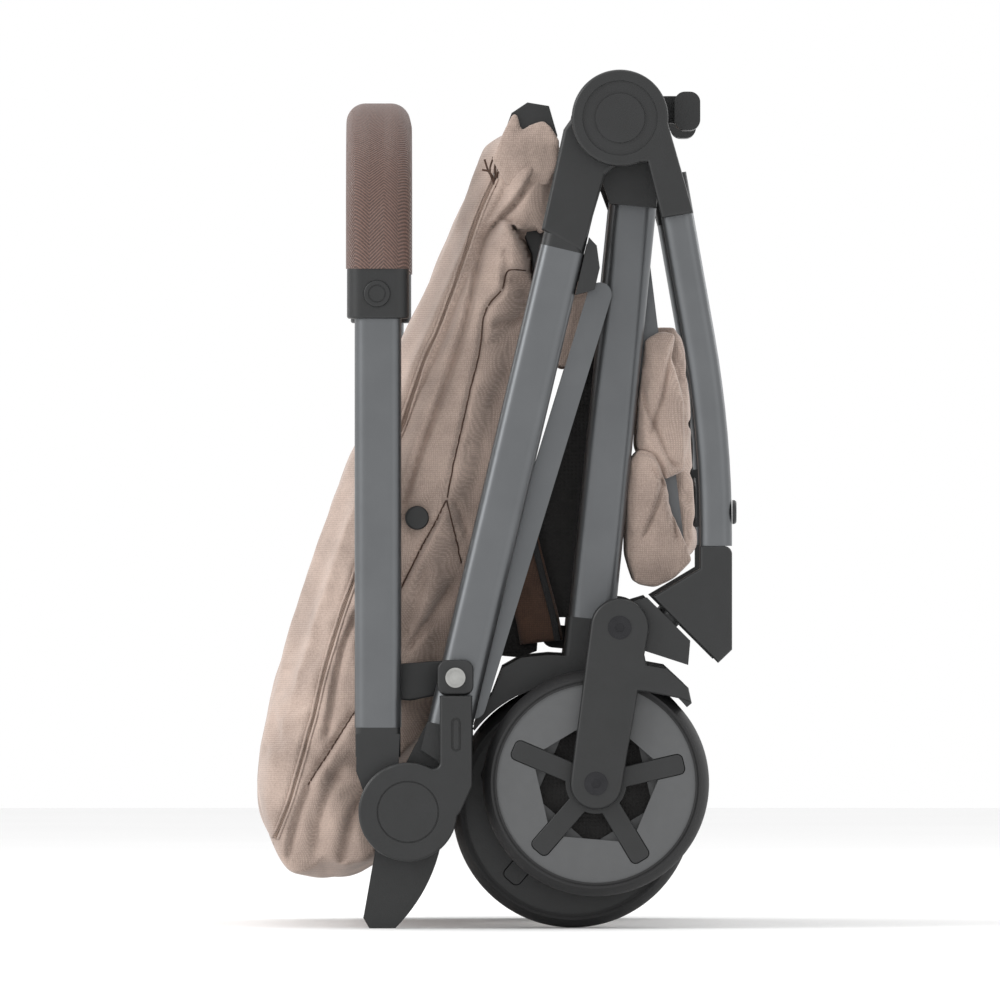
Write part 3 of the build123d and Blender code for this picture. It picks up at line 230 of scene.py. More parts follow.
# ------------------------------------------------------------------ finishes
@dataclass(frozen=True)
class Finish:
    """One finish: two colours mottled together, a shader and a bump pattern."""
    name: str
    light: str
    dark: str
    roughness: float
    metallic: float = 0.0
    ior: float = 1.5
    mottle_mm: float = 8.0
    grain_mm: float = 0.8
    depth_mm: float = 0.05
    sheen: float = 0.0
    coat: float = 0.0

    def pattern(self, tree: bpy.types.NodeTree, place: bpy.types.NodeSocket) -> bpy.types.NodeSocket:
        """Height of the surface grain.

        Args:
            tree: the material's nodes.
            place: the surface point in metres.

        Returns:
            A height socket between 0 and 1.
        """
        grain = add_node(tree, "ShaderNodeTexNoise", inputs={"Vector": place, "Scale": 1 / (self.grain_mm * MM),
                                                             "Detail": 2.0})
        return grain.outputs["Fac"]

    def tint(self, tree: bpy.types.NodeTree, place: bpy.types.NodeSocket,
             height: bpy.types.NodeSocket) -> bpy.types.NodeSocket:
        """Base colour, mottled between the two colours."""
        cloud = add_node(tree, "ShaderNodeTexNoise", inputs={"Vector": place, "Scale": 1 / (self.mottle_mm * MM),
                                                             "Detail": 3.0})
        mix = add_node(tree, "ShaderNodeMix", {"data_type": "RGBA"},
                       {0: cloud.outputs["Fac"], 6: linear(self.dark), 7: linear(self.light)})
        return mix.outputs[2]

    def build(self) -> bpy.types.Material:
        """Make the material.

        Returns:
            The finished node material.
        """
        material = bpy.data.materials.new(self.name)
        material.use_nodes = True
        tree = material.node_tree
        tree.nodes.clear()
        place = add_node(tree, "ShaderNodeTexCoord").outputs["Object"]
        height = self.pattern(tree, place)
        bump = add_node(tree, "ShaderNodeBump", inputs={"Height": height, "Distance": self.depth_mm * MM,
                                                        "Strength": 1.0})
        shader = add_node(tree, "ShaderNodeBsdfPrincipled", inputs={
            "Base Color": self.tint(tree, place, height), "Roughness": self.roughness,
            "Metallic": self.metallic, "IOR": self.ior, "Normal": bump.outputs["Normal"],
            "Sheen Weight": self.sheen, "Coat Weight": self.coat})
        add_node(tree, "ShaderNodeOutputMaterial", inputs={"Surface": shader.outputs["BSDF"]})
        return material


@dataclass(frozen=True)
class WovenCloth(Finish):
    """Melange polyester weave: two yarns of different tone crossing, with a soft sheen."""
    thread_mm: float = 1.2        # drawn about twice as coarse as the real thread, so that it shows

    def pattern(self, tree: bpy.types.NodeTree, place: bpy.types.NodeSocket) -> bpy.types.NodeSocket:
        """Height of crossing yarns, broken up by slubs."""
        scale = 0.314 / (self.thread_mm * MM)
        turned = add_node(tree, "ShaderNodeMapping", inputs={"Vector": place, "Rotation": (0, 0, radians(45))})
        weft = add_node(tree, "ShaderNodeTexWave", {"bands_direction": "Z"},
                        {"Vector": place, "Scale": scale, "Distortion": 0.4, "Detail": 1.0})
        warp = add_node(tree, "ShaderNodeTexWave", {"bands_direction": "X"},
                        {"Vector": turned.outputs["Vector"], "Scale": scale * 1.4, "Distortion": 0.4, "Detail": 1.0})
        crossed = add_node(tree, "ShaderNodeMath", {"operation": "MULTIPLY"},
                           {0: weft.outputs["Fac"], 1: warp.outputs["Fac"]})
        slub = add_node(tree, "ShaderNodeTexNoise", inputs={"Vector": place, "Scale": 1 / (self.grain_mm * MM),
                                                            "Detail": 3.0, "Roughness": 0.7})
        return add_node(tree, "ShaderNodeMath", {"operation": "MULTIPLY_ADD"},
                        {0: crossed.outputs[0], 1: 0.5, 2: slub.outputs["Fac"]}).outputs[0]

    def tint(self, tree: bpy.types.NodeTree, place: bpy.types.NodeSocket,
             height: bpy.types.NodeSocket) -> bpy.types.NodeSocket:
        """Yarn colour follows the height, over slow changes of tone."""
        cloud = add_node(tree, "ShaderNodeTexNoise", inputs={"Vector": place, "Scale": 1 / (self.mottle_mm * MM),
                                                             "Detail": 2.0})
        level = add_node(tree, "ShaderNodeMath", {"operation": "MULTIPLY_ADD"},
                         {0: height, 1: 0.9, 2: cloud.outputs["Fac"]})
        shift = add_node(tree, "ShaderNodeMath", {"operation": "SUBTRACT", "use_clamp": True},
                         {0: level.outputs[0], 1: 0.65})
        mix = add_node(tree, "ShaderNodeMix", {"data_type": "RGBA"},
                       {0: shift.outputs[0], 6: linear(self.dark), 7: linear(self.light)})
        return mix.outputs[2]


@dataclass(frozen=True)
class EmbossedHide(Finish):
    """Imitation leather rolled with a fine chevron emboss."""
    rib_mm: float = 2.3

    def pattern(self, tree: bpy.types.NodeTree, place: bpy.types.NodeSocket) -> bpy.types.NodeSocket:
        """Height of slanting ribs that turn back at regular stripes."""
        parts = add_node(tree, "ShaderNodeSeparateXYZ", inputs={0: place})
        fold = add_node(tree, "ShaderNodeMath", {"operation": "PINGPONG"},
                        {0: parts.outputs["X"], 1: 9.0 * MM})
        across = add_node(tree, "ShaderNodeMath", {"operation": "ADD"},
                          {0: fold.outputs[0], 1: parts.outputs["Y"]})
        slant = add_node(tree, "ShaderNodeMath", {"operation": "ADD"},
                         {0: across.outputs[0], 1: parts.outputs["Z"]})
        ribs = add_node(tree, "ShaderNodeMath", {"operation": "MULTIPLY"},
                        {0: slant.outputs[0], 1: 2 * pi / (self.rib_mm * MM)})
        wave = add_node(tree, "ShaderNodeMath", {"operation": "SINE"}, {0: ribs.outputs[0]})
        grain = super().pattern(tree, place)
        return add_node(tree, "ShaderNodeMath", {"operation": "MULTIPLY_ADD"},
                        {0: wave.outputs[0], 1: 0.5, 2: grain}).outputs[0]

    def tint(self, tree: bpy.types.NodeTree, place: bpy.types.NodeSocket,
             height: bpy.types.NodeSocket) -> bpy.types.NodeSocket:
        """Darker colour in the pressed grooves."""
        level = add_node(tree, "ShaderNodeMath", {"operation": "ADD", "use_clamp": True}, {0: height, 1: -0.05})
        mix = add_node(tree, "ShaderNodeMix", {"data_type": "RGBA"},
                       {0: level.outputs[0], 6: linear(self.dark), 7: linear(self.light)})
        return mix.outputs[2]


@dataclass(frozen=True)
class RibbedWeb(Finish):
    """Woven strap or mesh: close ribs along Z and Y."""
    rib_mm: float = 1.6

    def pattern(self, tree: bpy.types.NodeTree, place: bpy.types.NodeSocket) -> bpy.types.NodeSocket:
        """Height of fine crossing ribs."""
        bands = [add_node(tree, "ShaderNodeTexWave", {"bands_direction": axis},
                          {"Vector": place, "Scale": 0.314 / (self.rib_mm * MM)}).outputs["Fac"]
                 for axis in ("Z", "X")]
        return add_node(tree, "ShaderNodeMath", {"operation": "MULTIPLY"}, {0: bands[0], 1: bands[1]}).outputs[0]


@dataclass(frozen=True)
class FinishSet:
    """All finishes of the stroller, one per record slot plus the trims."""
    # Extruded aluminium, bead blasted and anodised dark grey: even satin with a fine sparkle.
    anodised_tube: Finish = Finish("anodised aluminium", "#6E7072", "#626466", 0.36, 0.85, grain_mm=0.5,
                                   depth_mm=0.02, mottle_mm=30)
    # Glass-filled nylon with a spark-eroded mould grain: soft grey-black, slightly lighter where it catches light.
    black_plastic: Finish = Finish("moulded nylon", "#1F2021", "#171818", 0.42, grain_mm=0.9, depth_mm=0.07,
                                   mottle_mm=12)
    # Zinc-plated steel, drawn and plated: bright and slightly hazy.
    steel: Finish = Finish("zinc plated steel", "#B9B9B6", "#8E8E8C", 0.3, 1.0, grain_mm=1.5, depth_mm=0.02)
    # Black-oxide steel under oil: glossy near-black.
    black_bolt: Finish = Finish("black oxide steel", "#3A3A3C", "#2C2C2E", 0.2, 0.9, grain_mm=2, depth_mm=0.01)
    # Foamed polyurethane tyre from a matt mould: dull near-black.
    tyre: Finish = Finish("foamed rubber", "#1C1C1D", "#131314", 0.62, grain_mm=1.1, depth_mm=0.12, mottle_mm=20)
    # ABS rim from a satin mould: mid grey.
    rim_grey: Finish = Finish("satin ABS", "#555657", "#4E4F50", 0.42, grain_mm=0.8, depth_mm=0.03)
    # Polyurethane hide with an embossed chevron: warm brown, low gloss.
    leatherette: EmbossedHide = EmbossedHide("embossed leatherette", "#75594F", "#46342E", 0.5, grain_mm=1.2,
                                             depth_mm=0.4, mottle_mm=14, sheen=0.1)
    # Woven melange polyester: taupe yarns, no gloss.
    taupe_fabric: WovenCloth = WovenCloth("melange weave", "#CDB7AA", "#8A7A71", 0.95, mottle_mm=30, grain_mm=1.1,
                                          depth_mm=0.22, sheen=0.2)
    # Brown lining weave, coloured as the same cloth looks in the shade of its folds: painted shade on the hood's seam
    # lines, and the brown of the basket linings and the zip pull's ribbon.
    lining: WovenCloth = WovenCloth("brown lining weave", "#5E4537", "#3A2A22", 0.95, mottle_mm=18, grain_mm=1.1,
                                    depth_mm=0.2, sheen=0.15)
    # Knitted polyester mesh: matt black.
    dark_mesh: RibbedWeb = RibbedWeb("knitted mesh", "#232221", "#161515", 0.9, depth_mm=0.3, rib_mm=2.4)
    # Woven polypropylene strap: black with close ribs.
    webbing: RibbedWeb = RibbedWeb("strap webbing", "#1E1E1F", "#131314", 0.75, depth_mm=0.2)
    # Seam thread and zip tape: the cloth's own colour, tighter and slightly darker.
    thread: Finish = Finish("sewn tape", "#A08B7E", "#7D6B60", 0.85, grain_mm=0.6, depth_mm=0.1)

    def built(self) -> dict[str, bpy.types.Material]:
        """Every material by its field name."""
        return {name: getattr(self, name).build() for name in self.__dataclass_fields__}


# ------------------------------------------------------------------ stage
@dataclass
class Studio:
    """Wide pale floor, white room, soft boxes and the level camera on the near side."""
    distance: float = 16.0
    height: float = 0.2662
    lens_mm: float = 916.0
    floor_radius: float = 6.0
    floor_hex: str = "#F6F6F6"

    def floor(self) -> None:
        """Round floor, wide enough for a view from any side."""
        rim = [(self.floor_radius * cos(a), self.floor_radius * sin(a), 0.0)
               for a in np.linspace(0, 2 * pi, 96, endpoint=False)]
        ground = mesh_piece("studio_floor", rim, [tuple(range(len(rim)))])
        # Painted plywood: even, matt and almost white.
        paint = Finish("matt floor paint", self.floor_hex, "#F1F1F1", 0.9, mottle_mm=400, grain_mm=3, depth_mm=0.01)
        ground.data.materials.append(paint.build())

    def light(self, name: str, place: tuple, aim: tuple, size: float, watts: float) -> None:
        """One square soft box.

        Args:
            name: light name.
            place: position in metres.
            aim: point that it faces.
            size: edge length in metres.
            watts: power.
        """
        lamp = bpy.data.lights.new(name, "AREA")
        lamp.size = size
        lamp.energy = watts
        holder = bpy.data.objects.new(name, lamp)
        holder.location = place
        holder.rotation_euler = (Vector(aim) - Vector(place)).to_track_quat("-Z", "Y").to_euler()
        bpy.context.scene.collection.objects.link(holder)

    def camera(self) -> None:
        """Long lens, level with the middle of the folded stroller."""
        lens = bpy.data.cameras.new("side_camera")
        lens.lens = self.lens_mm
        lens.sensor_width = 36.0
        lens.clip_end = 60.0
        holder = bpy.data.objects.new("side_camera", lens)
        holder.location = (0.0, -self.distance, self.height)
        holder.rotation_euler = (pi / 2, 0.0, 0.0)
        bpy.context.scene.collection.objects.link(holder)
        bpy.context.scene.camera = holder

    def build(self) -> None:
        """Make the stage."""
        self.floor()
        self.camera()
        middle = (0.0, 0.0, 0.27)
        self.light("key_box", (-2.6, -1.9, 1.7), middle, 1.4, 44)
        self.light("fill_box", (2.2, -2.6, 0.8), middle, 2.0, 5)
        self.light("top_box", (0.0, 0.2, 2.8), middle, 2.2, 16)
        self.light("back_left", (-2.2, 1.4, 1.4), middle, 1.2, 14)
        self.light("back_right", (2.2, 1.6, 1.2), middle, 1.2, 12)
        world = bpy.data.worlds.new("soft_room")
        world.use_nodes = True
        world.node_tree.nodes["Background"].inputs["Color"].default_value = linear("#FFFFFF")
        world.node_tree.nodes["Background"].inputs["Strength"].default_value = 1.0
        bpy.context.scene.world = world
        bpy.context.scene.view_settings.view_transform = "Standard"


# ------------------------------------------------------------------ hard parts
@dataclass
class HardParts:
    """Every CAD node that stays in sight: each gets the finish of its slot."""
    finishes: dict[str, bpy.types.Material]

    def dress(self) -> None:
        """Give each node the material of its slot."""
        for row in frame["record"]["subparts"]:
            piece = frame["nodes"][row["node"]]
            piece.data.materials.clear()
            piece.data.materials.append(self.finishes[row["material_slot"]])
            LOG.info("%s: %s", row["node"], row["material_slot"])


@dataclass
class WheelWells:
    """Dark moulded liners on the floor of the five-sided wheel recesses."""
    finishes: dict[str, bpy.types.Material]
    apothem: float = 31.0 * MM
    turn: float = radians(13.0)         # the first spoke from forward
    corners: int = 5
    rings: tuple = ((1.0, 0.3), (0.97, 0.6), (0.55, 0.5), (0.5, 0.9), (0.3, 0.9))     # share of the reach, rise in mm

    def build(self) -> None:
        """One liner with a raised boss for each wheel."""
        for joint in JOINTS.values():
            if "wheel_roll" not in joint["name"]:
                continue
            body = joint["child"]
            centre = Vector(joint["pos_m"])
            sense = 1 if centre.y > 0 else -1
            inner_low, inner_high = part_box(body.replace("_wheel_", "_wheel_spokes_"))
            floor = inner_low.y if sense > 0 else inner_high.y
            reach = self.apothem / cos(pi / self.corners)
            verts = []
            for share, lift in self.rings:
                for k in range(self.corners):
                    angle = self.turn + (k + 0.5) * 2 * pi / self.corners
                    verts.append((centre.x + share * reach * cos(angle), floor + sense * lift * MM,
                                  centre.z + share * reach * sin(angle)))
            faces = []
            for ring in range(len(self.rings) - 1):
                first, second = ring * self.corners, (ring + 1) * self.corners
                for k in range(self.corners):
                    after = (k + 1) % self.corners
                    faces.append((first + k, first + after, second + after, second + k))
            liner = mesh_piece(f"{body}_liner", verts, faces)
            liner.data.materials.append(self.finishes["dark_mesh"])
            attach(liner, body)
            LOG.info("%s: %d faces", liner.name, len(faces))


# ------------------------------------------------------------------ fabric shaping
def beside(places: np.ndarray, line: np.ndarray) -> tuple[np.ndarray, np.ndarray]:
    """Signed distance from a line on the side of the stroller.

    Args:
        places: points as (x, z) rows.
        line: points of the line, going down.

    Returns:
        Distance, positive forward of the line, and the fraction along it.
    """
    nearest = np.full(len(places), 1e9)
    signed = np.zeros(len(places))
    along = np.zeros(len(places))
    for i in range(len(line) - 1):
        step = line[i + 1] - line[i]
        offset = places - line[i]
        part = np.clip(offset @ step / (step @ step), 0, 1)
        gap = np.linalg.norm(offset - part[:, None] * step, axis=1)
        closer = gap < nearest
        turn = step[0] * offset[:, 1] - step[1] * offset[:, 0]
        nearest[closer] = gap[closer]
        signed[closer] = (np.sign(turn) * gap)[closer]
        along[closer] = ((i + part) / (len(line) - 1))[closer]
    return signed, along


@dataclass(frozen=True)
class Fold:
    """One fold or seam line on the side of the fabric, in millimetres."""
    line: list
    groove: float = 2.0         # depth of the line itself
    width: float = 2.5          # half width of the groove
    lift: float = 3.0           # how far the cloth behind the line stands over the cloth before it
    decay: float = 14.0         # how far back that lift runs out
    forward: bool = False       # True where the cloth in front of the line stands proud instead

    def push(self, places: np.ndarray) -> np.ndarray:
        """Outward push at each (x, z) place, in metres."""
        line = smooth_line(self.line, 60)
        gap, along = beside(places, line)
        ends = np.clip(np.minimum(along, 1 - along) / 0.12, 0, 1)
        reach = np.linalg.norm(places - line[0], axis=1)
        ends = np.where((along <= 0) | (along >= 1), np.exp(-(gap / (3 * MM)) ** 2) * 0.3, ends)
        ends = np.where(reach < 1 * MM, 0.3, ends)
        proud = gap > 0 if self.forward else gap < 0
        edge = np.clip(np.abs(gap) / (1.6 * MM), 0, 1)
        lift = self.lift * MM * np.exp(-np.abs(gap) / (self.decay * MM)) * proud * edge
        groove = -self.groove * MM * np.exp(-(gap / (self.width * MM)) ** 2)
        return DEEPEN * (lift + groove) * ends


def inside(places: np.ndarray, outline: list[Point]) -> np.ndarray:
    """Which (x, z) places are inside a closed outline."""
    found = np.zeros(len(places), bool)
    for (x1, z1), (x2, z2) in zip(outline, outline[1:] + outline[:1]):
        crosses = (z1 > places[:, 1]) != (z2 > places[:, 1])
        with np.errstate(divide="ignore", invalid="ignore"):
            at = (x2 - x1) * (places[:, 1] - z1) / (z2 - z1) + x1
        found ^= crosses & (places[:, 0] < at)
    return found


def slab(name: str, outline: list[Point], reach: float) -> bpy.types.Object:
    """Closed block with the given outline across the stroller's width.

    Args:
        name: piece name.
        outline: (x, z) corners in metres.
        reach: half width in metres.

    Returns:
        The block.
    """
    count = len(outline)
    verts = [(x, side * reach, z) for side in (-1, 1) for x, z in outline]
    faces = [tuple(range(count)), tuple(reversed(range(count, 2 * count)))]
    faces += [(i, i + count, (i + 1) % count + count, (i + 1) % count) for i in range(count)]
    piece = mesh_piece(name, verts, faces)
    work = bmesh.new()
    work.from_mesh(piece.data)
    bmesh.ops.recalc_face_normals(work, faces=work.faces)
    work.to_mesh(piece.data)
    work.free()
    return piece


def applied(piece: bpy.types.Object) -> None:
    """Bake the piece's modifiers into its mesh."""
    depsgraph = bpy.context.evaluated_depsgraph_get()
    mesh = bpy.data.meshes.new_from_object(piece.evaluated_get(depsgraph))
    piece.modifiers.clear()
    old = piece.data
    piece.data = mesh
    bpy.data.meshes.remove(old)


@dataclass(frozen=True)
class Stuffing:
    """How a soft block is turned into padded cloth."""
    voxel_mm: float = 5.0
    pressure: float = 4.0
    cap_mm: float = 8.0
    rounding: int = 8           # smoothing passes over the hard edges

    def fill(self, piece: bpy.types.Object) -> None:
        """Remesh, swell by a cloth simulation under pressure, cap the movement and subdivide.

        Args:
            piece: closed block; its mesh is replaced.
        """
        remesh = piece.modifiers.new("even", "REMESH")
        remesh.mode = "VOXEL"
        remesh.voxel_size = self.voxel_mm * MM
        smooth = piece.modifiers.new("round", "SMOOTH")
        smooth.factor = 0.5
        smooth.iterations = self.rounding
        applied(piece)
        before = read_points(piece)
        self.swell(piece)
        moved = read_points(piece) - before
        length = np.linalg.norm(moved, axis=1)
        limit = np.minimum(length, self.cap_mm * MM) / np.maximum(length, 1e-9)
        write_points(piece, before + moved * limit[:, None])
        split = piece.modifiers.new("finer", "SUBSURF")
        split.levels = split.render_levels = 1
        applied(piece)

    def swell(self, piece: bpy.types.Object) -> None:
        """Run the cloth simulation for twenty frames and keep its result."""
        cloth = piece.modifiers.new("cloth", "CLOTH")
        cloth.settings.use_pressure = True
        cloth.settings.uniform_pressure_force = self.pressure
        cloth.settings.effector_weights.gravity = 0.0
        cloth.settings.quality = 4
        cloth.collision_settings.use_collision = False
        cloth.point_cache.frame_start = 1
        cloth.point_cache.frame_end = 20
        for step in range(1, 21):
            bpy.context.scene.frame_set(step)
        applied(piece)
        bpy.context.scene.frame_set(1)


def ripple(places: np.ndarray, seed: float, span: tuple[float, float, float]) -> np.ndarray:
    """Soft random waves between about -1 and 1.

    Args:
        places: points in metres.
        seed: shifts the pattern.
        span: wave size along each axis, in metres.

    Returns:
        One value for each point.
    """
    scaled = places / np.array(span) + seed
    return np.array([noise.fractal(Vector(p), 0.9, 2.0, 3) for p in scaled])


def laid_on(cover: bpy.types.Object, line: np.ndarray, side: Side, lift: float) -> tuple[np.ndarray, np.ndarray]:
    """Drop a side-view line on to a cover.

    Args:
        cover: mesh piece that the line lies on.
        line: (x, z) points in metres.
        side: side of the stroller.
        lift: height over the cover in metres.

    Returns:
        Points on the cover and the outward direction at each.
    """
    points, out = [], []
    for x, z in line:
        start = Vector((x, side.value * 0.3, z))
        hit, place, normal, _ = cover.ray_cast(start, Vector((0, -side.value, 0)))
        if hit and abs(place.y) > 0.5 * PANEL_REACH:
            points.append(place + normal * lift)
            out.append(normal)
    points, out = np.array(points), np.array(out)
    for _ in range(2):
        points[1:-1] = (points[:-2] + 2 * points[1:-1] + points[2:]) / 4
        out[1:-1] = (out[:-2] + 2 * out[1:-1] + out[2:]) / 4
    return points, out


# ------------------------------------------------------------------ folded hood and backrest
@dataclass
class HoodBundle:
    """The folded hood and backrest: one swollen cloth body with folds, zips, seams and snaps."""
    finishes: dict[str, bpy.types.Material]
    reach: float = PANEL_REACH - 5 * MM
    blend_half: float = 55 * MM         # half length of the bend about the hood's pivot
    outline: list = field(default_factory=lambda: [
        (64.5, 432), (71, 424), (86, 428.7), (93, 418), (96, 408), (98.4, 388.4), (64.8, 245), (31.2, 101.5),
        (16, 48), (-8, 22), (-14, -2), (-15, -28), (-21.7, -38.5), (-30, -36.5), (-36.5, -40.5), (-44, -38.5),
        (-49.4, -30.6), (-55, -41.5), (-64.2, -46), (-72, -44.5), (-79, -34.5), (-83, -18.7), (-87.9, -6.9),
        (-88.5, 8.9), (-86, 34.6), (-78, 70.2), (-64.2, 119.6), (-50.4, 163.1), (-32.6, 209.6), (16, 320.8)])
    zip_line: list = field(default_factory=lambda: [
        (54.5, 394), (46.4, 376.3), (37.5, 352), (27.8, 324.4), (18.1, 298.5), (9.1, 278.2), (-12, 215),
        (-24, 174), (-32.6, 146.8), (-39.2, 127.7), (-46.7, 104.4), (-53.3, 81.2), (-58.3, 59.6), (-64.1, 39.6),
        (-72.4, 9.7), (-79.1, -8.5), (-82.5, -17)])
    folds: tuple = (
        # long fold that runs from the lobe down behind the handle
        Fold([(88.6, 412.8), (80.5, 399), (67.5, 379.5), (58.3, 369.8), (49.7, 360.1), (44.8, 347.1),
              (40.7, 330.9), (35.1, 305), (26.2, 277.4), (16.4, 249.9), (6.7, 223.9), (-3, 193.5), (-12, 170)],
             3.4, 2.2, 4.2, 16),
        # soft crease between that fold and the zip
        Fold([(67.5, 404.7), (61.8, 394.1), (57, 381.2), (47.2, 363.3), (37.5, 337.4), (27.8, 311.5),
              (21.3, 293.6), (11.6, 272.6), (1.8, 248.3), (-8, 222)], 2.2, 3.0, 2.4, 9),
        # edges of the leaf-shaped flap
        Fold([(58.3, 368.5), (64.3, 364.2), (70.7, 352.8), (74, 343.9), (74.8, 334.2)], 2.0, 2.0, 4.0, 12),
        Fold([(82.9, 360.1), (73.2, 363.3), (63.4, 366.6), (58.3, 368.9)], 1.5, 2.5, 3.5, 10, True),
        Fold([(58.6, 350.4), (61, 342.3), (59.4, 335.8)], 1.8, 3.0, 2.0, 8),
        # seam of the inner gusset
        Fold([(74, 335.5), (66.7, 336.4), (60.2, 335.5), (58.6, 324.4), (50.5, 315.5), (46.4, 305),
              (44.3, 285.5), (38.3, 261.2), (31.8, 232), (28.9, 220.6), (23.9, 194.9)], 1.9, 1.7, 1.9, 9),
        Fold([(23.9, 193.3), (26.4, 182.5), (30.5, 165.9), (33.9, 150.1)], 1.2, 1.5, 1.0, 8),
        Fold([(27.2, 193.3), (33, 180.8), (37.2, 168.3)], 2.5, 3.0, 3.0, 8),
        Fold([(23.9, 193.3), (18.1, 180.8), (8.9, 164.2), (-1, 144.3), (-11, 124.3)], 2.4, 2.2, 3.2, 12, True),
        Fold([(28.9, 144.3), (15.6, 124.3), (4, 107.7), (-1, 97.8)], 3.5, 4.0, 3.0, 12),
        Fold([(12.3, 155.9), (5.6, 137.6), (2.3, 121), (-2.7, 104.4)], 3.0, 5.0, 1.5, 10),
        # small pouch under the leaf
        Fold([(52.1, 300.9), (58.6, 304.2), (66.7, 305.3), (73.2, 309.9)], 3.0, 2.5, 0.5, 8),
        # folds behind the handle, forward of the zip
        Fold([(-30.9, 127.7), (-40.1, 104.4), (-45, 84.5), (-48.4, 64.5), (-52.5, 41.3)], 2.6, 2.6, 3.2, 9),
        Fold([(-30.1, 66.2), (-40.9, 49.6), (-49.2, 36.3), (-55.8, 26.3), (-63.3, 14.7)], 2.2, 2.2, 2.6, 10, True),
        Fold([(-60.5, 19.7), (-65, 9.7), (-69.1, -1.9), (-73.3, -16.8), (-74.9, -29.8)], 2.6, 2.4, 3.0, 8),
        Fold([(-37.6, 34.6), (-49.2, 14.7), (-55.8, -6.9), (-59.2, -28.5)], 2.2, 4.0, 2.0, 12),
        Fold([(-20, 20), (-34, 0), (-40, -20), (-43, -36)], 2.6, 4.0, 2.6, 12))

    def shape(self) -> bpy.types.Object:
        """Make the swollen and creased body."""
        body = slab("folded_hood", near_hinge(self.outline), self.reach)
        Stuffing(4.2, 4.0, 7.0, 6).fill(body)
        self.crease(body)
        return body

    def crease(self, body: bpy.types.Object) -> None:
        """Press the folds, dimples and wrinkles into both sides and the back."""
        places = read_points(body)
        flat = places[:, [0, 2]]
        side = np.sign(places[:, 1])
        weight = np.clip((np.abs(places[:, 1]) - (self.reach - 34 * MM)) / (26 * MM), 0, 1)
        weight = weight * weight * (3 - 2 * weight)
        push = np.zeros(len(places))
        for fold in self.folds:
            millimetres = Fold(near_hinge(fold.line), fold.groove, fold.width, fold.lift, fold.decay, fold.forward)
            push += millimetres.push(flat)
        push += self.zip_valley(flat) + self.snap_dimple(flat) + self.bulges(flat)
        rumple = ripple(np.column_stack([flat, places[:, 1] * 0.2]), 3.7, (0.016, 0.045, 0.05))
        push += 1.5 * MM * rumple
        body_bow = 2.2 * MM * ripple(places, 11.3, (0.05, 0.09, 0.08))
        places[:, 1] += side * weight * push
        outer = 1 - weight
        places[:, 0] += outer * body_bow
        write_points(body, places)

    def zip_valley(self, flat: np.ndarray) -> np.ndarray:
        """Shallow valley under the zip, with the hood panel standing proud behind it."""
        gap, _ = beside(flat, smooth_line(near_hinge(self.zip_line), 80))
        panel = 3.0 * MM * np.clip(-gap / (5 * MM), 0, 1) * np.exp(-np.clip(-gap - 5 * MM, 0, 1) / (30 * MM))
        return panel - 1.2 * MM * np.exp(-(gap / (2.6 * MM)) ** 2)

    def snap_dimple(self, flat: np.ndarray) -> np.ndarray:
        """Cloth pulled in by the snap, with creases that radiate from it."""
        offset = flat - np.array([SNAP.x, SNAP.z])
        reach = np.linalg.norm(offset, axis=1)
        angle = np.arctan2(offset[:, 1], offset[:, 0])
        rays = np.sin(5 * angle + 0.7) + 0.5 * np.sin(9 * angle + 2.1)
        return (-3.0 * MM * np.exp(-(reach / (11 * MM)) ** 2)
                + 1.1 * MM * rays * np.exp(-((reach - 13 * MM) / (8 * MM)) ** 2))

    def bulges(self, flat: np.ndarray) -> np.ndarray:
        """Full places and hollows: the upper lobe, the leaf, the pouch and the dark gap beside the leaf."""
        total = np.zeros(len(flat))
        spots = [((79, 392), 16, 22, 4.5), ((60, 352), 12, 14, 3.0), ((63.5, 318), 11, 13, 5.5),
                 ((66, 330), 8, 5, -5.0), ((93, 385), 7, 22, -5.0), ((40, 290), 14, 60, 1.8),
                 ((8, 178), 16, 22, 1.5), ((-4, 110), 8, 14, -5.0), ((-24, 80), 12, 22, 2.0)]
        for centre, wide, tall, height in spots:
            (x, z), = near_hinge([centre])
            sideways, upright = (flat[:, 0] - x) / (wide * MM), (flat[:, 1] - z) / (tall * MM)
            total += height * MM * np.exp(-sideways ** 2 - upright ** 2)
        gap = near_hinge([(65.5, 363), (83.5, 360), (98, 366), (98, 330), (76.5, 331), (75.6, 344), (71.8, 353.5)])
        total[inside(flat, gap)] -= 17 * MM
        return total

    def dress(self, body: bpy.types.Object) -> None:
        """Finish the body, hide the CAD canopy and backrest, and bake the body's transform."""
        finish_piece(body, self.finishes["taupe_fabric"])
        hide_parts("canopy", "backrest")
        self.bend(body)

    def bend(self, piece: bpy.types.Object) -> None:
        """Bake the piece's transform into its mesh."""
        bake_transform(piece)

    def zips(self, body: bpy.types.Object) -> None:
        """Zip on each side: tape, two piped edges and the coil of teeth."""
        line = smooth_line(near_hinge(self.zip_line), 260)
        across = np.gradient(line, axis=0)
        across = np.column_stack([-across[:, 1], across[:, 0]]) / np.linalg.norm(across, axis=1)[:, None]
        for side in Side:
            label = side.name.lower()
            edges = []
            for shift in (-1.9, 1.9):
                points, out = laid_on(body, line + across * shift * MM, side, 0.6 * MM)
                edges.append(strip(f"edge_{shift}", points, out, 1.7 * MM, 1.5 * MM))
            self.bend(finish_piece(joined(f"zip_piping_{label}", edges), self.finishes["taupe_fabric"]))
            points, out = laid_on(body, line, side, 0.5 * MM)
            self.bend(finish_piece(strip(f"zip_tape_{label}", points, out, 2.8 * MM, 0.6 * MM),
                                   self.finishes["thread"]))
            self.bend(finish_piece(self.teeth(f"zip_teeth_{label}", points, out), self.finishes["thread"]))

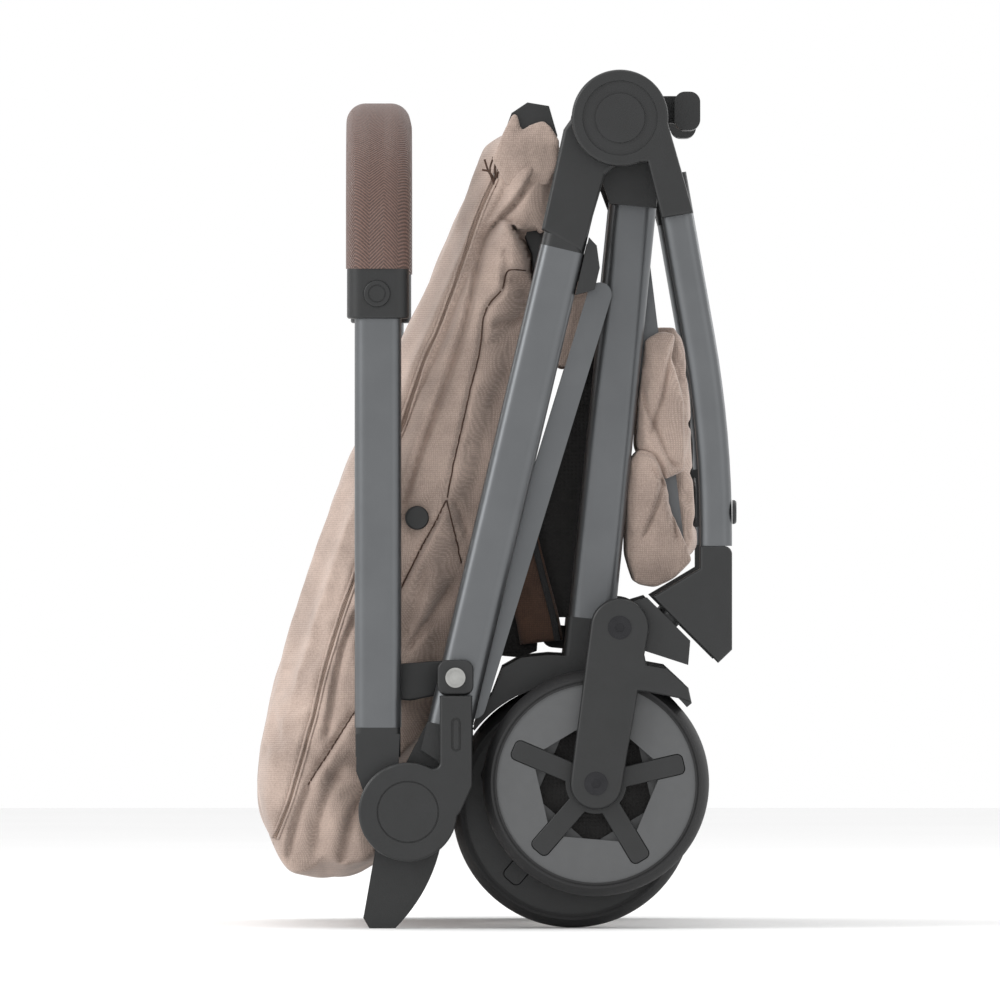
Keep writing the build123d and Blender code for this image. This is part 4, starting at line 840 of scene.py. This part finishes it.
    def teeth(self, name: str, points: np.ndarray, out: np.ndarray) -> bpy.types.Object:
        """Coil teeth along a line: short slanting bars at an even pitch."""
        pitch = 1.6 * MM
        reach = np.concatenate([[0], np.cumsum(np.linalg.norm(np.diff(points, axis=0), axis=1))])
        bars = []
        work = bmesh.new()
        for place in np.arange(pitch, reach[-1] - pitch, pitch):
            i = min(int(np.searchsorted(reach, place)), len(points) - 1)
            centre = np.array([np.interp(place, reach, points[:, axis]) for axis in range(3)])
            along = points[i] - points[i - 1]
            along /= np.linalg.norm(along)
            up = out[i] - (out[i] @ along) * along
            up /= np.linalg.norm(up)
            wide = np.cross(along, up)
            for hand in (-1, 1):
                middle = centre + wide * hand * 0.45 * MM + up * 0.4 * MM + along * hand * 0.25 * pitch
                corners = [middle + along * a * 0.38 * MM + wide * b * 0.5 * MM + up * c * 0.35 * MM
                           for c in (-1, 1) for a, b in ((-1, -1), (1, -1), (1, 1), (-1, 1))]
                made = [work.verts.new(corner) for corner in corners]
                for face in ((0, 3, 2, 1), (4, 5, 6, 7), (0, 1, 5, 4), (1, 2, 6, 5), (2, 3, 7, 6), (3, 0, 4, 7)):
                    bars.append(work.faces.new([made[k] for k in face]))
        mesh = bpy.data.meshes.new(name)
        work.to_mesh(mesh)
        work.free()
        piece = bpy.data.objects.new(name, mesh)
        bpy.context.scene.collection.objects.link(piece)
        return piece

    def seams(self, body: bpy.types.Object) -> None:
        """Dark brown strips along the sewn joins: slightly raised, with their colour as painted shade of the seam
        grooves.
        """
        runs = {
            "gusset": [(73, 336.3), (66.7, 336.9), (61.5, 336), (58.8, 325), (50.5, 315.5), (46.4, 305),
                       (44.3, 285.5), (38.3, 261.2), (31.8, 232), (28.4, 217), (24.2, 195)],
            "dart": [(23.9, 193.3), (26.4, 182.5), (30.5, 165.9), (32.8, 154)],
            "pleat": [(23.4, 193), (17.6, 180.8), (8.4, 164.2), (-1.5, 144.3), (-9, 129)],
            "lower": [(-30.1, 66.2), (-40.9, 49.6), (-49.2, 36.3), (-55.8, 26.3), (-62, 16.5)]}
        for side in Side:
            seam_shade_strips = []
            for name, run in runs.items():
                points, out = laid_on(body, smooth_line(near_hinge(run), 90), side, 0.3 * MM)
                seam_shade_strips.append(strip(name, points, out, 1.0 * MM, 0.9 * MM))
            whole = joined(f"hood_seams_{side.name.lower()}", seam_shade_strips)
            # The dark brown lining weave here is painted shade of the seam grooves.
            self.bend(finish_piece(whole, self.finishes["lining"]))

    def peak(self, side: Side) -> None:
        """Notched top edge of the hood cloth, which laps over the black rim."""
        outline = [(2.2, 496.1), (7.5, 507.1), (10.3, 506.2), (13.5, 496.4), (18.4, 499.7), (27.3, 502.3),
                   (32.2, 497.7), (37, 489.6), (36.4, 476), (30, 462), (4, 462), (-5, 478)]
        piece = slab(f"hood_peak_{side.name.lower()}", [(x * MM, z * MM) for x, z in outline], 2.2 * MM)
        Stuffing(1.6, 2.0, 1.5, 2).fill(piece)
        places = read_points(piece)
        push = 0.8 * MM * ripple(places, 7.7, (0.014, 0.03, 0.02))
        sink = np.clip((488 * MM - places[:, 2]) / (24 * MM), 0, 1) * 4.5 * MM
        places[:, 1] = side.value * (174.5 * MM + places[:, 1] + push - sink)
        write_points(piece, places)
        if side is Side.RIGHT:
            piece.data.flip_normals()
        finish_piece(piece, self.finishes["taupe_fabric"])
        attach(piece, "canopy")

    def build(self) -> bpy.types.Object:
        """Make the bundle and its trims.

        Returns:
            The cloth body.
        """
        body = self.shape()
        bpy.context.view_layer.update()
        self.zips(body)
        self.seams(body)
        for side in Side:
            self.peak(side)
        self.dress(body)
        return body


def copied(node: str, name: str) -> bpy.types.Object:
    """New piece with a copy of a CAD node's mesh, as the start of a soft piece."""
    piece = bpy.data.objects.new(name, frame["nodes"][node].data.copy())
    bpy.context.scene.collection.objects.link(piece)
    work = bmesh.new()
    work.from_mesh(piece.data)
    bmesh.ops.remove_doubles(work, verts=work.verts, dist=0.01 * MM)
    work.to_mesh(piece.data)
    work.free()
    return piece


def plate(name: str, outline: list[Point], inner: float, outer: float, side: Side,
          rounding: float) -> bpy.types.Object:
    """Flat piece with rounded edges on one side of the stroller.

    Args:
        name: piece name.
        outline: (x, z) corners in metres.
        inner: reach of its inner face in metres.
        outer: reach of its outer face in metres.
        side: side of the stroller.
        rounding: edge radius in metres.

    Returns:
        The plate.
    """
    piece = slab(name, outline, (outer - inner) / 2)
    places = read_points(piece)
    places[:, 1] += side.value * (inner + outer) / 2
    write_points(piece, places)
    edge = piece.modifiers.new("edge", "BEVEL")
    edge.width = rounding
    edge.segments = 3
    applied(piece)
    return piece


# ------------------------------------------------------------------ seat
@dataclass
class Seat:
    """The padded seat with its sewn channels, side folds and harness straps."""
    finishes: dict[str, bpy.types.Material]
    channel_pitch: float = 31 * MM
    strap_width: float = 24 * MM
    strap_spread: float = 46 * MM

    def pad(self) -> bpy.types.Object:
        """Swollen pad with cross channels and a crumpled edge."""
        pad = copied("seat_pad", "padded_seat")
        Stuffing(4.0, 4.0, 5.0, 4).fill(pad)
        low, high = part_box("seat_pad")
        places = read_points(pad)
        centre = (low.x + high.x) / 2
        phase = (places[:, 2] - low.z) / self.channel_pitch
        valley = np.exp(-((phase - np.round(phase)) * self.channel_pitch / (2.4 * MM)) ** 2)
        middle = np.clip((high.y - 8 * MM - np.abs(places[:, 1])) / (14 * MM), 0, 1)
        front = np.sign(places[:, 0] - centre)
        places[:, 0] -= front * 2.2 * MM * valley * middle
        places[:, 0] += 1.2 * MM * ripple(places, 5.1, (0.02, 0.03, 0.03))
        rim = 1 - middle
        crumple = ripple(places, 8.4, (0.012, 0.03, 0.03))
        places[:, 1] += np.sign(places[:, 1]) * rim * 1.8 * MM * crumple
        places[:, 0] += rim * 1.5 * MM * crumple
        write_points(pad, places)
        finish_piece(pad, self.finishes["taupe_fabric"])
        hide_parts("seat_pad")
        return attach(pad, "seat")

    def strap(self, pad: bpy.types.Object, name: str, path: list[Point]) -> bpy.types.Object:
        """Webbing laid on the front of the pad.

        Args:
            pad: the padded seat.
            name: piece name.
            path: (y, z) points in metres.

        Returns:
            The strap.
        """
        points, out = [], []
        for y, z in smooth_line(path, 60):
            hit, place, normal, _ = pad.ray_cast(Vector((0.4, y, z)), Vector((-1, 0, 0)))
            if hit:
                points.append(place + Vector((1.0 * MM, 0, 0)))
                out.append(Vector((1, 0, 0)))
        points = np.array(points)
        for _ in range(6):
            points[1:-1, 0] = (points[:-2, 0] + points[1:-1, 0] + points[2:, 0]) / 3
        piece = strip(name, points, np.array(out, float), self.strap_width, 1.6 * MM)
        finish_piece(piece, self.finishes["webbing"])
        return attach(piece, "seat")

    def side_cloth(self, side: Side) -> None:
        """Twisted side of the seat cover that hangs between the rear and the front leg."""
        upper = [(90, 366), (100, 372), (109.2, 369.7), (108, 355.3), (112, 340), (115.1, 326.5), (115.1, 284.4),
                 (103, 279), (90, 290), (84, 300), (86, 330)]
        lower = [(80, 290), (86, 298), (96, 296), (103.6, 277.8), (108, 262), (112.5, 248.9), (117.4, 235.7),
                 (119.6, 227.9), (108, 216.9), (95.9, 211.3), (84, 214), (78, 233), (78, 260)]
        creases = (([(109, 368), (104, 350), (101.4, 333), (96, 316), (92.6, 304)], 2.6, 4.0, False),
                   ([(115, 286), (106, 290), (99, 306), (92, 322), (88, 338)], 2.2, 3.0, True),
                   ([(84, 296), (96, 293), (101, 281), (97, 262), (88, 240)], 2.4, 3.4, False),
                   ([(93, 290), (104, 272), (108, 254), (112, 238)], 2.2, 3.0, True))
        parts = []
        for label, outline, reach in (("upper", upper, 154 * MM), ("lower", lower, 158 * MM)):
            part = slab(f"side_{label}", [(x * MM, z * MM) for x, z in outline], 4.5 * MM)
            Stuffing(2.2, 3.0, 2.5, 3).fill(part)
            places = read_points(part)
            flat = places[:, [0, 2]]
            push = 1.4 * MM * ripple(np.column_stack([flat, places[:, 1]]), 9.2, (0.012, 0.03, 0.03))
            for line, groove, lift, forward in creases:
                push += Fold([(x * MM, z * MM) for x, z in line], groove, 1.8, lift, 9.0, forward).push(flat) * 0.6
            places[:, 1] = side.value * (reach + places[:, 1] + push)
            write_points(part, places)
            if side is Side.RIGHT:
                part.data.flip_normals()
            parts.append(part)
        whole = joined(f"seat_side_{side.name.lower()}", parts)
        finish_piece(whole, self.finishes["taupe_fabric"])
        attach(whole, "seat")

    def build(self) -> None:
        """Make the pad and the five straps of the harness."""
        pad = self.pad()
        for side in Side:
            self.side_cloth(side)
        bpy.context.view_layer.update()
        low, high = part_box("seat_pad")
        buckle_low, buckle_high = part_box("harness_buckle")
        middle = (buckle_low.z + buckle_high.z) / 2
        top = high.z - 12 * MM
        for side in Side:
            y = side.value * self.strap_spread
            self.strap(pad, f"shoulder_strap_{side.name.lower()}",
                       [(y, top), (y, top - 30 * MM), (y * 0.72, middle + 26 * MM), (y * 0.25, middle + 4 * MM)])
            self.strap(pad, f"waist_strap_{side.name.lower()}",
                       [(side.value * 112 * MM, middle - 4 * MM), (side.value * 60 * MM, middle + 1 * MM),
                        (side.value * 14 * MM, middle)])
        self.strap(pad, "crotch_strap", [(0, middle - 6 * MM), (0, low.z + 12 * MM)])


# ------------------------------------------------------------------ basket
@dataclass
class Basket:
    """Folded mesh basket under the seat, with its bound rim and side linings."""
    finishes: dict[str, bpy.types.Material]

    def bag(self) -> None:
        """Slack bag with long hanging folds."""
        bag = copied("basket", "mesh_basket")
        Stuffing(5.0, 2.0, 5.0, 6).fill(bag)
        places = read_points(bag)
        hang = ripple(places, 2.2, (0.018, 0.022, 0.12))
        places[:, 0] += 2.6 * MM * hang
        places[:, 1] += 2.0 * MM * ripple(places, 6.6, (0.014, 0.02, 0.09))
        write_points(bag, places)
        finish_piece(bag, self.finishes["dark_mesh"])
        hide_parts("basket")
        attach(bag, "rear_frame")

    def lining(self, side: Side) -> None:
        """Brown lining panel at the side of the basket, with its zip."""
        line = [(8, 262), (12, 240), (18, 215), (24, 192), (27, 176)]
        label = side.name.lower()
        rows = []
        for x, z in smooth_line([(x * MM, z * MM) for x, z in line], 30):
            for t in np.linspace(0, 1, 9):
                bow = 2.5 * MM * sin(pi * t) + 0.8 * MM * sin(70 * z + 9 * t)
                rows.append((x - 14 * MM + 26 * MM * t, side.value * (129 * MM + bow), z + 3 * MM * t))
        faces = [(i * 9 + j, i * 9 + j + 1, (i + 1) * 9 + j + 1, (i + 1) * 9 + j)
                 for i in range(29) for j in range(8)]
        panel = mesh_piece(f"basket_lining_{label}", rows, faces)
        thick = panel.modifiers.new("cloth", "SOLIDIFY")
        thick.thickness = 0.9 * MM
        applied(panel)
        finish_piece(panel, self.finishes["lining"])
        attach(panel, "rear_frame")
        edge = smooth_line([((x + 9) * MM, (z + 2) * MM) for x, z in line], 70)
        points = np.column_stack([edge[:, 0], np.full(len(edge), side.value * 133 * MM), edge[:, 1]])
        out = np.tile([0.0, side.value, 0.0], (len(edge), 1))
        tape = strip(f"basket_zip_{label}", points, out, 4.0 * MM, 1.2 * MM)
        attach(finish_piece(tape, self.finishes["webbing"]), "rear_frame")

    def skirt(self, side: Side) -> None:
        """Black side panel that closes the bag beside the rear leg."""
        outline = [(-3, 176), (1, 169), (12, 168), (23, 172), (24.5, 193), (52, 193), (60, 240), (68, 300),
                   (74, 356), (62, 368), (50, 352), (30, 296), (10, 235), (0, 205)]
        panel = plate(f"basket_side_{side.name.lower()}", [(x * MM, z * MM) for x, z in outline], 125.6 * MM,
                      127.4 * MM, side, 0.5 * MM)
        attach(finish_piece(panel, self.finishes["dark_mesh"]), "rear_frame")

    def build(self) -> None:
        """Make the bag and its linings."""
        self.bag()
        for side in Side:
            self.skirt(side)
            self.lining(side)


# ------------------------------------------------------------------ trims
@dataclass
class Trims:
    """Small parts on the push bar: band, hood slider, corner fold and zip pulls."""
    finishes: dict[str, bpy.types.Material]

    def band(self, side: Side) -> None:
        """Plastic band from the bracket plate back behind the handle."""
        low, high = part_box("canopy_brackets")
        outline = [(-74 * MM, low.z - 2 * MM), (-56 * MM, low.z - 3.5 * MM), (low.x + 4 * MM, low.z + 0.5 * MM),
                   (low.x + 4 * MM, high.z - 0.5 * MM), (-56 * MM, high.z - 2 * MM), (-74 * MM, high.z - 4 * MM)]
        piece = plate(f"bracket_band_{side.name.lower()}", outline, 175.5 * MM, 187.2 * MM, side, 1.4 * MM)
        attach(finish_piece(piece, self.finishes["black_plastic"]), "pushbar")

    def slider(self, side: Side) -> None:
        """Slotted plastic slider seen in the gap beside the leaf-shaped flap."""
        body = near_hinge([(70, 363.5), (83, 361), (99, 366), (101, 330), (83, 329), (77.6, 333), (76.6, 346)])
        rib = near_hinge([(84, 360), (87.5, 360), (87.5, 333), (84, 333)])
        hook = near_hinge([(88, 357), (96, 358), (96, 352), (90, 350)])
        parts = [plate("slider_body", body, 146 * MM, 158 * MM, side, 1.2 * MM),
                 plate("slider_rib", rib, 157 * MM, 161 * MM, side, 0.8 * MM),
                 plate("slider_hook", hook, 157 * MM, 162 * MM, side, 0.8 * MM)]
        piece = joined(f"hood_slider_{side.name.lower()}", parts)
        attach(finish_piece(piece, self.finishes["black_plastic"]), "canopy")

    def corner_fold(self, side: Side) -> None:
        """Bunched seat cloth that shows between the push bar and the rear leg."""
        outline = [(36, 350), (33, 372), (36, 398), (46, 401), (55, 405), (60.5, 402), (60, 392), (56, 378),
                   (49, 362), (41, 348)]
        piece = slab(f"corner_fold_{side.name.lower()}", [(x * MM, z * MM) for x, z in outline], 7 * MM)
        Stuffing(2.0, 3.0, 2.0, 3).fill(piece)
        places = read_points(piece)
        gap, _ = beside(places[:, [0, 2]], np.array([(62, 398), (52, 394), (40, 392)]) * MM)
        places[:, 1] += side.value * (139 * MM) - 2.5 * MM * side.value * np.exp(-(gap / (1.5 * MM)) ** 2)
        places[:, 1] += 1.0 * MM * ripple(places, 4.4, (0.01, 0.02, 0.02))
        write_points(piece, places)
        finish_piece(piece, self.finishes["taupe_fabric"])
        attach(piece, "pushbar")

    def pull(self, side: Side, body: bpy.types.Object) -> None:
        """Metal zip puller with its frayed ribbon ends."""
        (x, z), = near_hinge([(53, 395)])
        hit, place, _, _ = body.ray_cast(Vector((x, side.value * 0.3, z)), Vector((0, -side.value, 0)))
        y = place.y + side.value * 1.8 * MM
        out = np.tile([0.0, side.value, 0.0], (24, 1))
        bars = []
        for number, (start, middle, end, width) in enumerate((
                ((1.0, 2.0), (3.2, -5.0), (5.2, -13.0), 2.6), ((-5.5, 10.5), (-3.0, 3.0), (0.5, -2.0), 1.3),
                ((2.5, 13.0), (1.0, 5.0), (1.5, -2.0), 1.3), ((8.0, 12.0), (4.0, 8.0), (2.0, -1.0), 1.2),
                ((-7.0, 4.0), (-2.0, 2.0), (3.0, -8.0), 1.3), ((0.0, 12.0), (-2.0, 2.0), (4.0, -12.0), 1.2))):
            run = smooth_line([(x + a * MM, y + side.value * (0.6 + 0.45 * number) * MM, z + b * MM)
                               for a, b in (start, middle, end)], 24)
            bars.append(strip(f"bar_{number}", run, out, width * MM, 0.9 * MM))
        metal = finish_piece(joined(f"zip_puller_{side.name.lower()}", bars[:1]), self.finishes["steel"])
        ribbon = finish_piece(joined(f"pull_ribbon_{side.name.lower()}", bars[1:]), self.finishes["lining"])
        for piece in (metal, ribbon):
            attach(piece, "canopy")

    def build(self, body: bpy.types.Object) -> None:
        """Make the trims on both sides."""
        for side in Side:
            self.band(side)
            self.slider(side)
            self.corner_fold(side)
            self.pull(side, body)


def main() -> None:
    """Build the stage and every sub-assembly in order."""
    logging.basicConfig(level=logging.INFO, format="%(message)s")
    finishes = FinishSet().built()
    Studio().build()
    HardParts(finishes).dress()
    WheelWells(finishes).build()
    hood = HoodBundle(finishes).build()
    Seat(finishes).build()
    Basket(finishes).build()
    Trims(finishes).build(hood)


if __name__ == "__main__":
    main()
